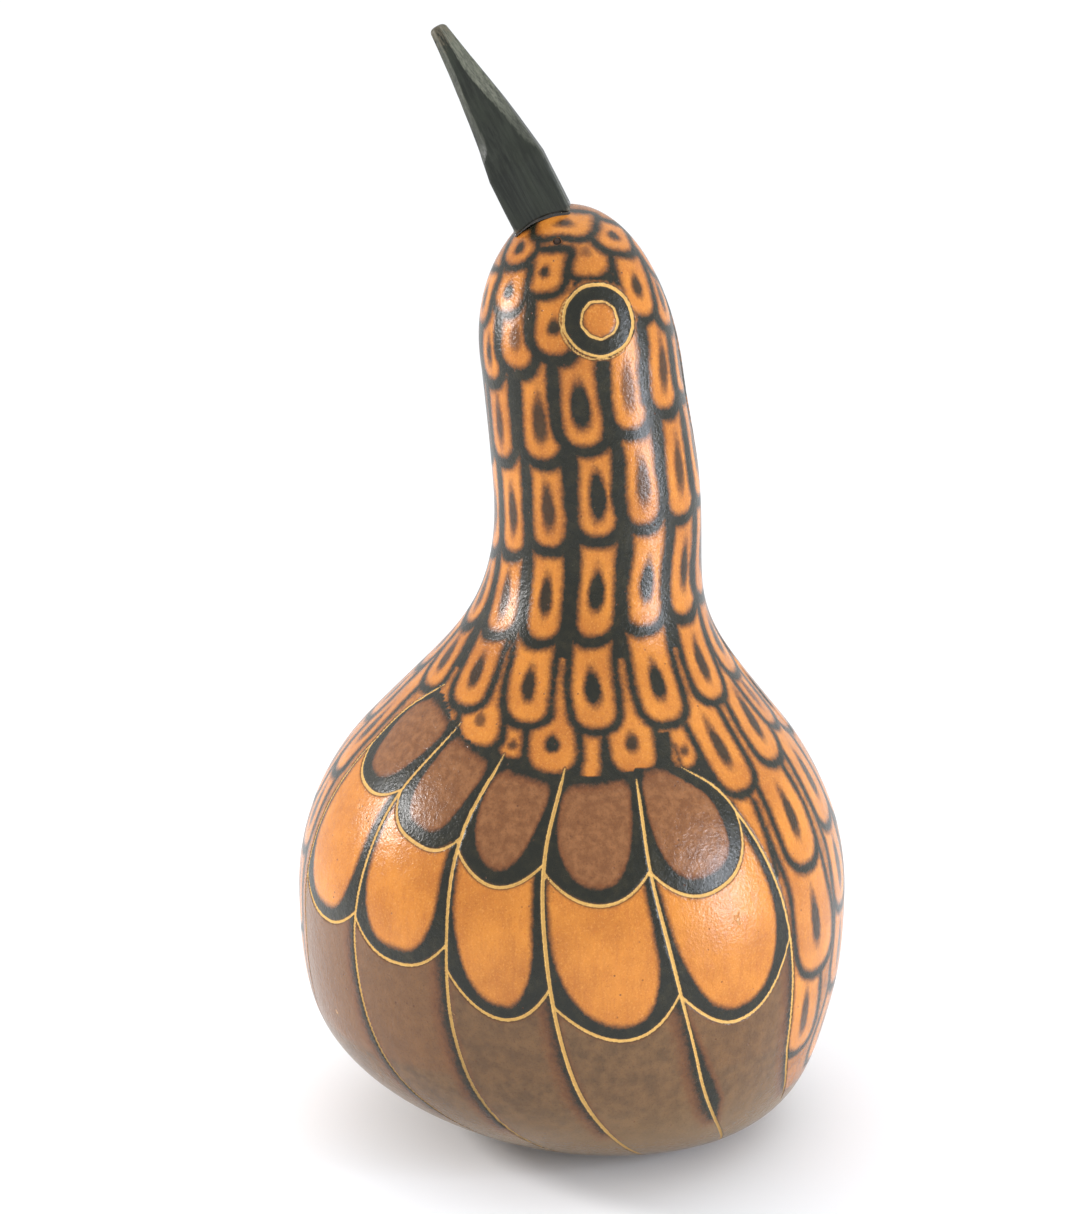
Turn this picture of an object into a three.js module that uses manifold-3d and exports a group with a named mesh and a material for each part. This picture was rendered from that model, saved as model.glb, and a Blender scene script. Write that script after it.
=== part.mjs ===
// Guiro made from one hollow bottle gourd, dressed as a sitting bird.
// Millimetres, +Z up, the beak towards -Y and the bird's left side towards +X.
// The origin is on the surface it stands on, under the middle of its bounding box.

import * as THREE from 'three';
import { mergeVertices } from 'three/addons/utils/BufferGeometryUtils.js';
import Module from 'manifold-3d';

const wasm = await Module();
wasm.setup();

// ---- Gourd: outline from the foot to the crown ----
const BELLY_RADIUS = 70;
const BELLY_Z = 62;            // height of the widest level
const BELLY_DROP = 63;         // the belly's lower half-height, 1 mm more than BELLY_Z leaves the flat foot
const BELLY_POWER = 2.7;       // fullness of the lower belly, 2 would be an ellipse
const BELLY_RISE = 67;         // the belly's upper half-height
const SHOULDER_ANGLE = 40;     // degrees up the belly's upper ellipse where the shoulder curve takes over
const SHOULDER_PULL = 36;      // how far the shoulder curve follows the belly
const NECK_PULL = 33;          // how far it follows the neck
const NECK_RADIUS = 25.6;
const NECK_Z = 166;
const HEAD_RADIUS = 24.6;
const HEAD_Z = 197;            // where the round crown starts
const CROWN_HEIGHT = 38.5;
const TOP_Z = HEAD_Z + CROWN_HEIGHT;
const WALL = 4.5;              // thickness of the dried shell

// ---- Gourd: the centre line isn't straight, a level's centre moves along Y ----
const FOOT_SHIFT = 15;         // the foot lies towards the tail
const FOOT_SPAN = 38;
const FOOT_POWER = 2.2;
const BOW = 6.2;               // the neck bows towards the tail
const BOW_Z = 158;
const BOW_SPAN = 36;
const NOD = 1.2;               // the crown nods towards the beak
const NOD_Z = 195;

// ---- Facets ----
const OUTER_SIDES = 56;
const INNER_SIDES = 28;
const RINGS = { belly: 11, rise: 6, shoulder: 7, neck: 4, crown: 9 };
const FINE_RINGS = { belly: 60, rise: 40, shoulder: 60, neck: 30, crown: 60 };

// ---- Rasp: straight V cuts filed across the bird's right side ----
const CUT_COUNT = 20;
const CUT_FIRST_Z = 30;
const CUT_PITCH = 4.5;         // along the outline
const CUT_DEPTH = 2;
const CUT_HALF_ANGLE = 38;     // degrees
const CUT_BAR_HEIGHT = 7;
const CUT_BAR_LENGTH = 60;
const RASP_AZIMUTH = 270;      // degrees from the beak, round over the bird's left side

// ---- Sound hole, also the thumb's grip ----
const HOLE_AZIMUTH = 215;
const HOLE_Z = 95;
const HOLE_RADIUS = 11;
const HOLE_SIDES = 32;

// ---- Beak and its fixing ----
const GAP = 0.3;               // clearance that glue fills between two pieces
const BEAK_ANGLE = 61.2;       // degrees above level
const BEAK_LENGTH = 50;
const BEAK_HALF = 7.3;         // half the square stock
const BEAK_TIP_HALF = 1.9;
const BEAK_PARALLEL = 12;      // the stock is untouched this far up
const BEAK_BEND = 0.8;         // sideways bow of the stock, towards the crown
const BEAK_CHAMFER = 0.3;      // share of half the stock that is cut off each corner
const BEAK_STEPS = 10;
const SEAT_DEPTH = 1;          // the crown is filed flat by this much under the beak
const SEAT_RADIUS = 9;
const DOWEL_RADIUS = 4;
const DOWEL_IN_BEAK = 12;
const DOWEL_IN_HEAD = 20;
const GLUE_RADIUS = 8.6;
const GLUE_SKIRT = 2.2;        // how far the bead reaches down the crown
const BRAD_AZIMUTH = 78;
const BRAD_Z = 228;
const BRAD_TARGET = 12;        // the brad meets the dowel's axis this far below the seat
const BRAD_LENGTH = 15;
const BRAD_RADIUS = 0.55;
const BRAD_HEAD_RADIUS = 0.95;
const BRAD_HEAD_HEIGHT = 0.5;
const BRAD_POINT = 2;          // length of its sharp end
const BRAD_SIDES = 12;
const BRAD_SINK = 0.7;         // depth of the countersunk pocket round the head

const ROUND_SIDES = 24;
const UP = new THREE.Vector3(0, 0, 1);
const rad = THREE.MathUtils.degToRad;

// Sideways place of the centre line at height z.
function lean(z) {
  const foot = FOOT_SHIFT * Math.max(0, 1 - z / FOOT_SPAN) ** FOOT_POWER;
  const bow = BOW * Math.exp(-(((z - BOW_Z) / BOW_SPAN) ** 2));
  const nod = NOD * Math.max(0, (z - NOD_Z) / (TOP_Z - NOD_Z));
  return foot + bow - nod;
}

// Radius against height, from the middle of the foot to the top of the crown.
function outline(rings) {
  const points = [new THREE.Vector2(0, 0)];
  const footAngle = Math.asin((BELLY_Z / BELLY_DROP) ** (BELLY_POWER / 2));
  for (let i = 0; i < rings.belly; i += 1) {
    const a = footAngle * (1 - i / rings.belly);
    const r = BELLY_RADIUS * Math.cos(a) ** (2 / BELLY_POWER);
    points.push(new THREE.Vector2(r, BELLY_Z - BELLY_DROP * Math.sin(a) ** (2 / BELLY_POWER)));
  }
  const turn = rad(SHOULDER_ANGLE);
  for (let i = 0; i < rings.rise; i += 1) {
    const a = turn * (i / rings.rise);
    points.push(new THREE.Vector2(BELLY_RADIUS * Math.cos(a), BELLY_Z + BELLY_RISE * Math.sin(a)));
  }
  const start = new THREE.Vector2(BELLY_RADIUS * Math.cos(turn), BELLY_Z + BELLY_RISE * Math.sin(turn));
  const along = new THREE.Vector2(-BELLY_RADIUS * Math.sin(turn), BELLY_RISE * Math.cos(turn)).normalize();
  const waist = new THREE.Vector2(NECK_RADIUS, NECK_Z);
  const shoulder = new THREE.CubicBezierCurve(
    start,
    start.clone().addScaledVector(along, SHOULDER_PULL),
    new THREE.Vector2(NECK_RADIUS, NECK_Z - NECK_PULL),
    waist,
  );
  points.push(...shoulder.getPoints(rings.shoulder).slice(0, -1));
  const third = (HEAD_Z - NECK_Z) / 3;
  const neck = new THREE.CubicBezierCurve(
    waist,
    new THREE.Vector2(NECK_RADIUS, NECK_Z + third),
    new THREE.Vector2(HEAD_RADIUS, HEAD_Z - third),
    new THREE.Vector2(HEAD_RADIUS, HEAD_Z),
  );
  points.push(...neck.getPoints(rings.neck).slice(0, -1));
  for (let i = 0; i < rings.crown; i += 1) {
    const a = (Math.PI / 2) * (i / rings.crown);
    points.push(new THREE.Vector2(HEAD_RADIUS * Math.cos(a), HEAD_Z + CROWN_HEIGHT * Math.sin(a)));
  }
  points.push(new THREE.Vector2(0, TOP_Z));
  return points;
}

// The same outline moved inwards by the wall.
function innerOutline(rings) {
  const points = outline(rings);
  const last = points.length - 1;
  const inner = points.map((p, i) => {
    const along = points[Math.min(i + 1, last)].clone().sub(points[Math.max(i - 1, 0)]).normalize();
    return new THREE.Vector2(Math.max(p.x - WALL * along.y, 0), p.y + WALL * along.x);
  });
  inner[0].set(0, WALL);
  inner[last].set(0, TOP_Z - WALL);
  return inner;
}

// A point on the skin at an azimuth and height, with its place on the outline, the outward normal
// and the direction up along the skin.
const fineOutline = outline(FINE_RINGS);
function skinAt(azimuth, z) {
  const i = fineOutline.findIndex((p) => p.y > z);
  const a = fineOutline[i - 1];
  const b = fineOutline[i];
  const profile = a.clone().lerp(b, (z - a.y) / (b.y - a.y));
  const along = b.clone().sub(a).normalize();
  const out = new THREE.Vector3(Math.sin(rad(azimuth)), -Math.cos(rad(azimuth)), 0);
  const point = out.clone().multiplyScalar(profile.x).add(new THREE.Vector3(0, lean(z), z));
  const normal = out.clone().multiplyScalar(along.y).addScaledVector(UP, -along.x);
  const upwards = out.clone().multiplyScalar(along.x).addScaledVector(UP, along.y);
  return { profile, point, normal, upwards };
}

// A closed three.js geometry as a solid for cutting.
function toSolid(geometry) {
  const bare = geometry.clone();
  bare.deleteAttribute('normal');
  bare.deleteAttribute('uv');
  const merged = mergeVertices(bare, 1e-4);
  const index = merged.index.array;
  const kept = [];
  for (let i = 0; i < index.length; i += 3) {
    const [a, b, c] = [index[i], index[i + 1], index[i + 2]];
    if (a !== b && b !== c && c !== a) kept.push(a, b, c);
  }
  return new wasm.Manifold(new wasm.Mesh({
    numProp: 3,
    vertProperties: new Float32Array(merged.attributes.position.array),
    triVerts: new Uint32Array(kept),
  }));
}

function toGeometry(solid) {
  const mesh = solid.getMesh();
  const geometry = new THREE.BufferGeometry();
  geometry.setAttribute('position', new THREE.BufferAttribute(new Float32Array(mesh.vertProperties), 3));
  geometry.setIndex(new THREE.BufferAttribute(new Uint32Array(mesh.triVerts), 1));
  geometry.computeVertexNormals();
  return geometry;
}

// A round body turned about the Z axis from its profile.
function turned(profile, sides) {
  const geometry = new THREE.LatheGeometry(profile, sides);
  geometry.rotateX(Math.PI / 2);
  return geometry;
}

// A round bar of the given length whose axis starts at a point and runs along a direction.
function rod(radius, length, from, direction, sides = ROUND_SIDES) {
  const geometry = new THREE.CylinderGeometry(radius, radius, length, sides);
  geometry.rotateX(Math.PI / 2);
  geometry.translate(0, 0, length / 2);
  return place(geometry, from, direction);
}

// Turns a geometry's Z axis to a direction and puts its origin at a point.
function place(geometry, point, direction) {
  geometry.applyQuaternion(new THREE.Quaternion().setFromUnitVectors(UP, direction));
  geometry.translate(point.x, point.y, point.z);
  return geometry;
}

// Slides every level of an upright body onto the gourd's centre line.
function leaning(geometry) {
  const position = geometry.attributes.position;
  for (let i = 0; i < position.count; i += 1) {
    position.setY(i, position.getY(i) + lean(position.getZ(i)));
  }
  return geometry;
}

// ---- Where the beak stands: its axis leaves the crown at the flat foot of the beak ----
const beakAxis = new THREE.Vector3(0, -Math.cos(rad(BEAK_ANGLE)), Math.sin(rad(BEAK_ANGLE)));
const crown = new THREE.Vector3(0, lean(TOP_Z), HEAD_Z);
const crownReach = Math.hypot(HEAD_RADIUS * beakAxis.y, CROWN_HEIGHT * beakAxis.z);
const beakFoot = crown.clone().add(new THREE.Vector3(
  0,
  (HEAD_RADIUS ** 2 * beakAxis.y) / crownReach,
  (CROWN_HEIGHT ** 2 * beakAxis.z) / crownReach,
));
const seat = beakFoot.clone().addScaledVector(beakAxis, -SEAT_DEPTH);
const bradSkin = skinAt(BRAD_AZIMUTH, BRAD_Z);
const bradInwards = seat.clone().addScaledVector(beakAxis, -BRAD_TARGET).sub(bradSkin.point).normalize();
const bradHead = bradSkin.point.clone().addScaledVector(bradInwards, BRAD_SINK - BRAD_HEAD_HEIGHT);

// One straight triangular bar, its sharp edge under the skin, lying level across the bird's right side.
function raspBar(z) {
  const { point, normal, upwards } = skinAt(RASP_AZIMUTH, z);
  const half = CUT_BAR_HEIGHT * Math.tan(rad(CUT_HALF_ANGLE));
  const section = new THREE.Shape();
  section.moveTo(0, 0);
  section.lineTo(half, CUT_BAR_HEIGHT);
  section.lineTo(-half, CUT_BAR_HEIGHT);
  section.closePath();
  const bar = new THREE.ExtrudeGeometry(section, { depth: CUT_BAR_LENGTH, bevelEnabled: false });
  bar.translate(0, 0, -CUT_BAR_LENGTH / 2);
  const across = new THREE.Vector3().crossVectors(upwards, normal);
  const edge = point.clone().addScaledVector(normal, -CUT_DEPTH);
  const frame = new THREE.Matrix4().makeBasis(upwards, normal, across).setPosition(edge);
  return toSolid(bar.applyMatrix4(frame));
}

// Heights of the cuts, evenly spaced along the outline.
function cutHeights() {
  const heights = [CUT_FIRST_Z];
  const first = fineOutline.findIndex((p) => p.y > CUT_FIRST_Z);
  let from = skinAt(0, CUT_FIRST_Z).profile;
  let ahead = CUT_PITCH;
  for (let i = first; heights.length < CUT_COUNT; i += 1) {
    let step = fineOutline[i].distanceTo(from);
    while (step >= ahead && heights.length < CUT_COUNT) {
      from = from.clone().lerp(fineOutline[i], ahead / step);
      heights.push(from.y);
      step -= ahead;
      ahead = CUT_PITCH;
    }
    ahead -= step;
    from = fineOutline[i];
  }
  return heights;
}

// What is filed off the crown under the beak.
function seatCut() {
  return toSolid(rod(SEAT_RADIUS, SEAT_RADIUS, seat, beakAxis));
}

// The dowel's hole through the crown and the glue.
function dowelBore() {
  const from = seat.clone().addScaledVector(beakAxis, -DOWEL_IN_HEAD);
  return toSolid(rod(DOWEL_RADIUS + GAP, 2 * DOWEL_IN_HEAD, from, beakAxis));
}

// The brad's hole, wider where the head is sunk.
function bradCut() {
  const outside = bradSkin.point.clone().addScaledVector(bradInwards, -BRAD_SINK);
  const hole = rod(BRAD_RADIUS + GAP, BRAD_LENGTH, outside, bradInwards, BRAD_SIDES);
  const pocket = rod(BRAD_HEAD_RADIUS + GAP, 2 * BRAD_SINK + GAP, outside, bradInwards, BRAD_SIDES);
  return toSolid(hole).add(toSolid(pocket));
}

function soundHoleCut() {
  const { point, normal } = skinAt(HOLE_AZIMUTH, HOLE_Z);
  const from = point.clone().addScaledVector(normal, -3 * WALL);
  return toSolid(rod(HOLE_RADIUS, 6 * WALL, from, normal, HOLE_SIDES));
}

function gourdShell() {
  const outer = toSolid(leaning(turned(outline(RINGS), OUTER_SIDES)));
  const inner = toSolid(leaning(turned(innerOutline(RINGS), INNER_SIDES)));
  let shell = outer.subtract(inner).subtract(soundHoleCut()).subtract(bradCut());
  shell = shell.subtract(seatCut()).subtract(dowelBore());
  for (const z of cutHeights()) shell = shell.subtract(raspBar(z));
  return shell;
}

// Square stock with its corners cut off, tapered to a blunt tip and bored for the dowel.
function beak() {
  const cut = 1 - BEAK_CHAMFER;
  const section = new THREE.Shape();
  section.moveTo(1, -cut);
  section.lineTo(1, cut);
  section.lineTo(cut, 1);
  section.lineTo(-cut, 1);
  section.lineTo(-1, cut);
  section.lineTo(-1, -cut);
  section.lineTo(-cut, -1);
  section.lineTo(cut, -1);
  section.closePath();
  const stock = new THREE.ExtrudeGeometry(section, {
    depth: BEAK_LENGTH, steps: BEAK_STEPS, bevelEnabled: false,
  });
  const position = stock.attributes.position;
  for (let i = 0; i < position.count; i += 1) {
    const up = position.getZ(i);
    const taper = Math.max(0, (up - BEAK_PARALLEL) / (BEAK_LENGTH - BEAK_PARALLEL));
    const half = THREE.MathUtils.lerp(BEAK_HALF, BEAK_TIP_HALF, taper);
    const bend = BEAK_BEND * Math.sin((Math.PI * up) / BEAK_LENGTH);
    position.setXY(i, position.getX(i) * half, position.getY(i) * half + bend);
  }
  const bore = rod(DOWEL_RADIUS + GAP, DOWEL_IN_BEAK + SEAT_DEPTH, new THREE.Vector3(0, 0, -SEAT_DEPTH), UP);
  return place(toGeometry(toSolid(stock).subtract(toSolid(bore))), beakFoot, beakAxis);
}

function beakDowel() {
  const from = seat.clone().addScaledVector(beakAxis, -DOWEL_IN_HEAD);
  const length = DOWEL_IN_HEAD + SEAT_DEPTH + DOWEL_IN_BEAK - GAP;
  const hole = rod(BRAD_RADIUS + GAP, BRAD_LENGTH + 1, bradHead, bradInwards, BRAD_SIDES);
  return toGeometry(toSolid(rod(DOWEL_RADIUS, length, from, beakAxis)).subtract(toSolid(hole)));
}

// Bead of glue squeezed out between the beak and the crown.
function glueBead() {
  const from = beakFoot.clone().addScaledVector(beakAxis, -SEAT_DEPTH - GLUE_SKIRT);
  const disc = toSolid(rod(GLUE_RADIUS, SEAT_DEPTH + GLUE_SKIRT - GAP, from, beakAxis));
  const gourd = toSolid(leaning(turned(outline(RINGS), OUTER_SIDES))).subtract(seatCut());
  const clearance = beakAxis.clone().multiplyScalar(GAP);
  return toGeometry(disc.subtract(dowelBore()).subtract(gourd.translate(clearance.toArray())));
}

function beakBrad() {
  const profile = [
    new THREE.Vector2(0, 0),
    new THREE.Vector2(BRAD_HEAD_RADIUS, 0),
    new THREE.Vector2(BRAD_HEAD_RADIUS, BRAD_HEAD_HEIGHT),
    new THREE.Vector2(BRAD_RADIUS, BRAD_HEAD_HEIGHT),
    new THREE.Vector2(BRAD_RADIUS, BRAD_LENGTH - BRAD_POINT),
    new THREE.Vector2(0, BRAD_LENGTH),
  ];
  return place(turned(profile, BRAD_SIDES), bradHead, bradInwards);
}

const guiro = new THREE.Group();

function addPiece(name, geometry, color, roughness, metalness = 0) {
  const mesh = new THREE.Mesh(geometry, new THREE.MeshStandardMaterial({ color, roughness, metalness }));
  mesh.name = name;
  guiro.add(mesh);
}

addPiece('gourd_shell', toGeometry(gourdShell()), 0xc8742a, 0.35);
addPiece('beak', beak(), 0x24231f, 0.45);
addPiece('beak_dowel', beakDowel(), 0xc2a273, 0.7);
addPiece('glue_bead', glueBead(), 0x3a2c1c, 0.25);
addPiece('beak_brad', beakBrad(), 0x5a4a3c, 0.5, 0.8);

export default guiro;
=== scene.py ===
"""Looks for the bird-shaped gourd guiro: a scorched, incised and varnished gourd with a whittled black beak.

The CAD frame is loaded first. The fine skin below repeats the gourd's outline in millimetres and cuts the
incised lines, the rasp and the holes into it. Burnt, dyed and pale areas are distances stored on the skin's
points, and the skin's material turns them into colour, gloss and relief.

Angles are degrees round the gourd from the beak (-Y) over the bird's left side (+X); heights are millimetres.
"""

import math

import bpy
import numpy as np
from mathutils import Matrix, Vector


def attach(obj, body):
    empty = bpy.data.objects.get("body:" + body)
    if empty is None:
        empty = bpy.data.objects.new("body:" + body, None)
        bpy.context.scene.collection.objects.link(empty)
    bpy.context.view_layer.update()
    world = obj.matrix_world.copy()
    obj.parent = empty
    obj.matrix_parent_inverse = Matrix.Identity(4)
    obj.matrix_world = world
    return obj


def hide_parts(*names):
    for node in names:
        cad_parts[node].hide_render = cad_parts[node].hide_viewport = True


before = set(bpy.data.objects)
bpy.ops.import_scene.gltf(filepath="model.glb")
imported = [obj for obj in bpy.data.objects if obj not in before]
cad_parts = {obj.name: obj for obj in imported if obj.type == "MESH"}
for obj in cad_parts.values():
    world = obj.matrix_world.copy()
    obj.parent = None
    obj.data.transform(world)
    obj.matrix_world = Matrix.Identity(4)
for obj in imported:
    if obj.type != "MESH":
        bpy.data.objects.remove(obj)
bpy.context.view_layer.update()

MM = 0.001

# ---------------------------------------------------------------- the gourd's outline, as in the CAD model
BELLY_RADIUS = 70.0
BELLY_Z = 62.0
BELLY_DROP = 63.0
BELLY_POWER = 2.7
BELLY_RISE = 67.0
SHOULDER_ANGLE = 40.0
SHOULDER_PULL = 36.0
NECK_PULL = 33.0
NECK_RADIUS = 25.6
NECK_Z = 166.0
HEAD_RADIUS = 24.6
HEAD_Z = 197.0
CROWN_HEIGHT = 38.5
TOP_Z = HEAD_Z + CROWN_HEIGHT
WALL = 4.5
FOOT_SHIFT, FOOT_SPAN, FOOT_POWER = 15.0, 38.0, 2.2
BOW, BOW_Z, BOW_SPAN = 6.2, 158.0, 36.0
NOD, NOD_Z = 1.2, 195.0

# ---------------------------------------------------------------- rasp, holes and beak, as in the CAD model
CUT_COUNT = 20
CUT_FIRST_Z = 30.0
CUT_PITCH = 4.5
CUT_DEPTH = 2.0
CUT_HALF_ANGLE = math.radians(38.0)
RASP_AZIMUTH = -90.0
HOLE_AZIMUTH, HOLE_Z, HOLE_RADIUS = 215.0, 95.0, 11.0
BEAK_ANGLE = math.radians(61.2)
BEAK_LENGTH = 50.0
BEAK_HALF = 7.3
BEAK_TIP_HALF = 1.9
BEAK_PARALLEL = 12.0
BEAK_BEND = 0.8
SEAT_DEPTH = 1.0
SEAT_RADIUS = 9.0
SEAT_CUT_RADIUS = SEAT_RADIUS - 1.2     # narrower than in the CAD model, under the beak and its glue
DOWEL_RADIUS = 4.0
DOWEL_IN_BEAK = 12.0
DOWEL_IN_HEAD = 20.0
BRAD_AZIMUTH, BRAD_Z = 78.0, 228.0
BRAD_TARGET = 12.0
BRAD_LENGTH = 15.0
BRAD_RADIUS = 0.55
BRAD_HEAD_RADIUS = 0.95
BRAD_SINK = 0.7
GAP = 0.3


# ================================================================ small geometry helpers
def spline(knots, x):
    """Smooth curve through (x, y) knots, flat beyond both ends."""
    points = np.array(sorted(knots), float)
    kx, ky = points[:, 0], points[:, 1]
    slope = np.diff(ky) / np.diff(kx)
    tangent = np.concatenate([slope[:1], (slope[1:] + slope[:-1]) / 2, slope[-1:]])
    x = np.clip(x, kx[0], kx[-1])
    i = np.clip(np.searchsorted(kx, x) - 1, 0, len(kx) - 2)
    width = kx[i + 1] - kx[i]
    t = (x - kx[i]) / width
    near = (1 + 2 * t) * (1 - t) ** 2 * ky[i] + t * (1 - t) ** 2 * width * tangent[i]
    far = t * t * (3 - 2 * t) * ky[i + 1] + t * t * (t - 1) * width * tangent[i + 1]
    return near + far


def bezier(p0, p1, p2, p3, count):
    t = np.linspace(0, 1, count)[:, None]
    p0, p1, p2, p3 = (np.array(p, float) for p in (p0, p1, p2, p3))
    return (1 - t) ** 3 * p0 + 3 * t * (1 - t) ** 2 * p1 + 3 * t * t * (1 - t) * p2 + t**3 * p3


def rounded_min(a, b, radius):
    """Smaller of two inside distances, with the corner between them rounded."""
    corner = radius - np.hypot(np.maximum(radius - a, 0), np.maximum(radius - b, 0))
    return np.where((a < radius) & (b < radius), corner, np.minimum(a, b))


def ripple(x, y, seed):
    """Smooth, repeatable unevenness between about -1 and 1."""
    total = 0
    for k in range(4):
        turn = seed * 1.7 + k * 2.4
        along = x * math.cos(turn) + y * math.sin(turn)
        total = total + np.sin((1 + 0.7 * k) * along + seed * 3.1 + k) / (1 + 0.5 * k)
    return total / 2.2


def lean(z):
    foot = FOOT_SHIFT * np.maximum(0, 1 - z / FOOT_SPAN) ** FOOT_POWER
    bow = BOW * np.exp(-(((z - BOW_Z) / BOW_SPAN) ** 2))
    return foot + bow - NOD * np.maximum(0, (z - NOD_Z) / (TOP_Z - NOD_Z))


def make_outline():
    """Distance along the skin, radius and height, evenly spaced from the middle of the foot to the crown."""
    foot_angle = math.asin((BELLY_Z / BELLY_DROP) ** (BELLY_POWER / 2))
    a = foot_angle * np.linspace(1, 0, 400) ** 2
    power = 2 / BELLY_POWER
    belly = np.c_[BELLY_RADIUS * np.cos(a) ** power, BELLY_Z - BELLY_DROP * np.sin(a) ** power]
    turn = math.radians(SHOULDER_ANGLE)
    a = np.linspace(0, turn, 100)
    rise = np.c_[BELLY_RADIUS * np.cos(a), BELLY_Z + BELLY_RISE * np.sin(a)]
    along = np.array([-BELLY_RADIUS * math.sin(turn), BELLY_RISE * math.cos(turn)])
    along /= np.linalg.norm(along)
    waist = (NECK_RADIUS, NECK_Z)
    below_waist = (NECK_RADIUS, NECK_Z - NECK_PULL)
    shoulder = bezier(rise[-1], rise[-1] + along * SHOULDER_PULL, below_waist, waist, 200)
    third = (HEAD_Z - NECK_Z) / 3
    temple = (HEAD_RADIUS, HEAD_Z)
    neck = bezier(waist, (NECK_RADIUS, NECK_Z + third), (HEAD_RADIUS, HEAD_Z - third), temple, 80)
    a = np.linspace(0, math.pi / 2, 200)
    crown = np.c_[HEAD_RADIUS * np.cos(a), HEAD_Z + CROWN_HEIGHT * np.sin(a)]
    points = np.vstack([[(0, 0)], belly, rise[1:], shoulder[1:], neck[1:], crown[1:]])
    length = np.concatenate([[0], np.cumsum(np.hypot(*np.diff(points, axis=0).T))])
    even = np.linspace(0, length[-1], 1400)
    return even, np.interp(even, length, points[:, 0]), np.interp(even, length, points[:, 1])


ALONG, RADIUS, HEIGHT = make_outline()
SLOPE_R = np.gradient(RADIUS, ALONG)
SLOPE_Z = np.gradient(HEIGHT, ALONG)
SKIN_LENGTH = ALONG[-1]


def skin_points(along, turn, depth=0.0):
    """Points of the skin at distances along the outline and angles in radians, sunk by a depth."""
    r = np.interp(along, ALONG, RADIUS)
    z = np.interp(along, ALONG, HEIGHT)
    dr = np.interp(along, ALONG, SLOPE_R)
    dz = np.interp(along, ALONG, SLOPE_Z)
    r = r - depth * dz
    z = z + depth * dr
    return np.stack([r * np.sin(turn), -r * np.cos(turn) + lean(z), z], -1)


def along_at(z):
    """Distance along the outline at a height."""
    return np.interp(z, HEIGHT, ALONG)


def skin_frame(azimuth, z):
    """Point, sideways, upward and outward directions of the skin at an angle and height."""
    along = along_at(z)
    turn = math.radians(azimuth)
    dr, dz = float(np.interp(along, ALONG, SLOPE_R)), float(np.interp(along, ALONG, SLOPE_Z))
    out = np.array([math.sin(turn), -math.cos(turn), 0.0])
    side = np.array([math.cos(turn), math.sin(turn), 0.0])
    point = skin_points(along, turn)
    upward = out * dr + np.array([0, 0, dz])
    return point, side, upward, out * dz - np.array([0, 0, dr])


# ---- where the beak stands
BEAK_AXIS = np.array([0, -math.cos(BEAK_ANGLE), math.sin(BEAK_ANGLE)])
BEAK_UP = np.array([0, math.sin(BEAK_ANGLE), math.cos(BEAK_ANGLE)])
_crown_reach = math.hypot(HEAD_RADIUS * BEAK_AXIS[1], CROWN_HEIGHT * BEAK_AXIS[2])
BEAK_FOOT = np.array([
    0,
    lean(TOP_Z) + HEAD_RADIUS**2 * BEAK_AXIS[1] / _crown_reach,
    HEAD_Z + CROWN_HEIGHT**2 * BEAK_AXIS[2] / _crown_reach,
])
SEAT = BEAK_FOOT - BEAK_AXIS * SEAT_DEPTH
BRAD_SKIN = skin_frame(BRAD_AZIMUTH, BRAD_Z)[0]
_to_dowel = SEAT - BEAK_AXIS * BRAD_TARGET - BRAD_SKIN
BRAD_INWARDS = _to_dowel / np.linalg.norm(_to_dowel)


# ================================================================ the pattern: wings
# Each rib is a line of the wing, as (height, angle) knots, from the leading edge round to the trailing edge.
RIBS = (
    ((121, 33), (114, 24), (104, 21), (88, 18.5), (60, 18.5), (30, 19.5), (12, 25)),
    ((115, 51), (100, 44.5), (84, 42.2), (60, 42), (40, 46), (18, 56), (6, 64)),
    ((110.5, 69.5), (96, 65.3), (70, 65), (50, 66), (30, 70), (12, 75), (4, 80)),
    ((108.5, 87), (92, 84.2), (70, 85), (45, 88.5), (20, 95.5), (4, 101)),
    ((106, 105.8), (88, 106.2), (70, 109), (45, 114.5), (20, 122), (4, 129)),
    ((107.4, 119), (103, 126), (95, 131), (80, 136), (60, 139.5), (35, 142), (14, 149)),
)
RIB_WIDTHS = (0.65, 0.72, 0.8, 0.95, 0.82, 0.68)
# Scalloped feather ends between two ribs: height at the left rib, at the right rib, sag, squareness.
SCALLOPS = (
    ((104.8, 100.0, 4.6, 2.6), (99.5, 93.3, 6.0, 3.0), (90.8, 89.4, 6.3, 1.9), (87.8, 87.5, 7.2, 2.0),
     (87.0, 97.0, 10.6, 2.4)),
    ((72.5, 71.0, 6.4, 2.3), (69.8, 69.3, 7.6, 2.4), (63.2, 61.0, 9.6, 2.0), (56.6, 58.2, 9.9, 2.0),
     (57.4, 65.5, 13.0, 2.3)),
)
WING_TOP = ((20, 120), (35, 119), (55, 112.5), (76, 107.6), (95, 107.2), (115, 107.5), (135, 100))
# A scalloped feather's burnt edge at its left and right rib, each near its top and at its end, and below it.
TONGUE_LEFT, TONGUE_RIGHT = (0.5, 2.0), (1.1, 4.0)
TONGUE_BOTTOMS = (4.2, 3.6)
TONGUE_REACH = (20.0, 30.0)     # how far above its end each row's edge starts to widen
TONGUE_ROUND = 7.0
LONG_WARMTH = (0.8, 0.6, 0.2, 0.0, 0.3)     # how red the long feathers' dye is, from the leading edge back
SCALLOP_WIDTH = 0.82

EYE_AZIMUTH, EYE_Z = 105.0, 210.4
EYE_OUTER, EYE_INNER = 8.5, 4.45


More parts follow.
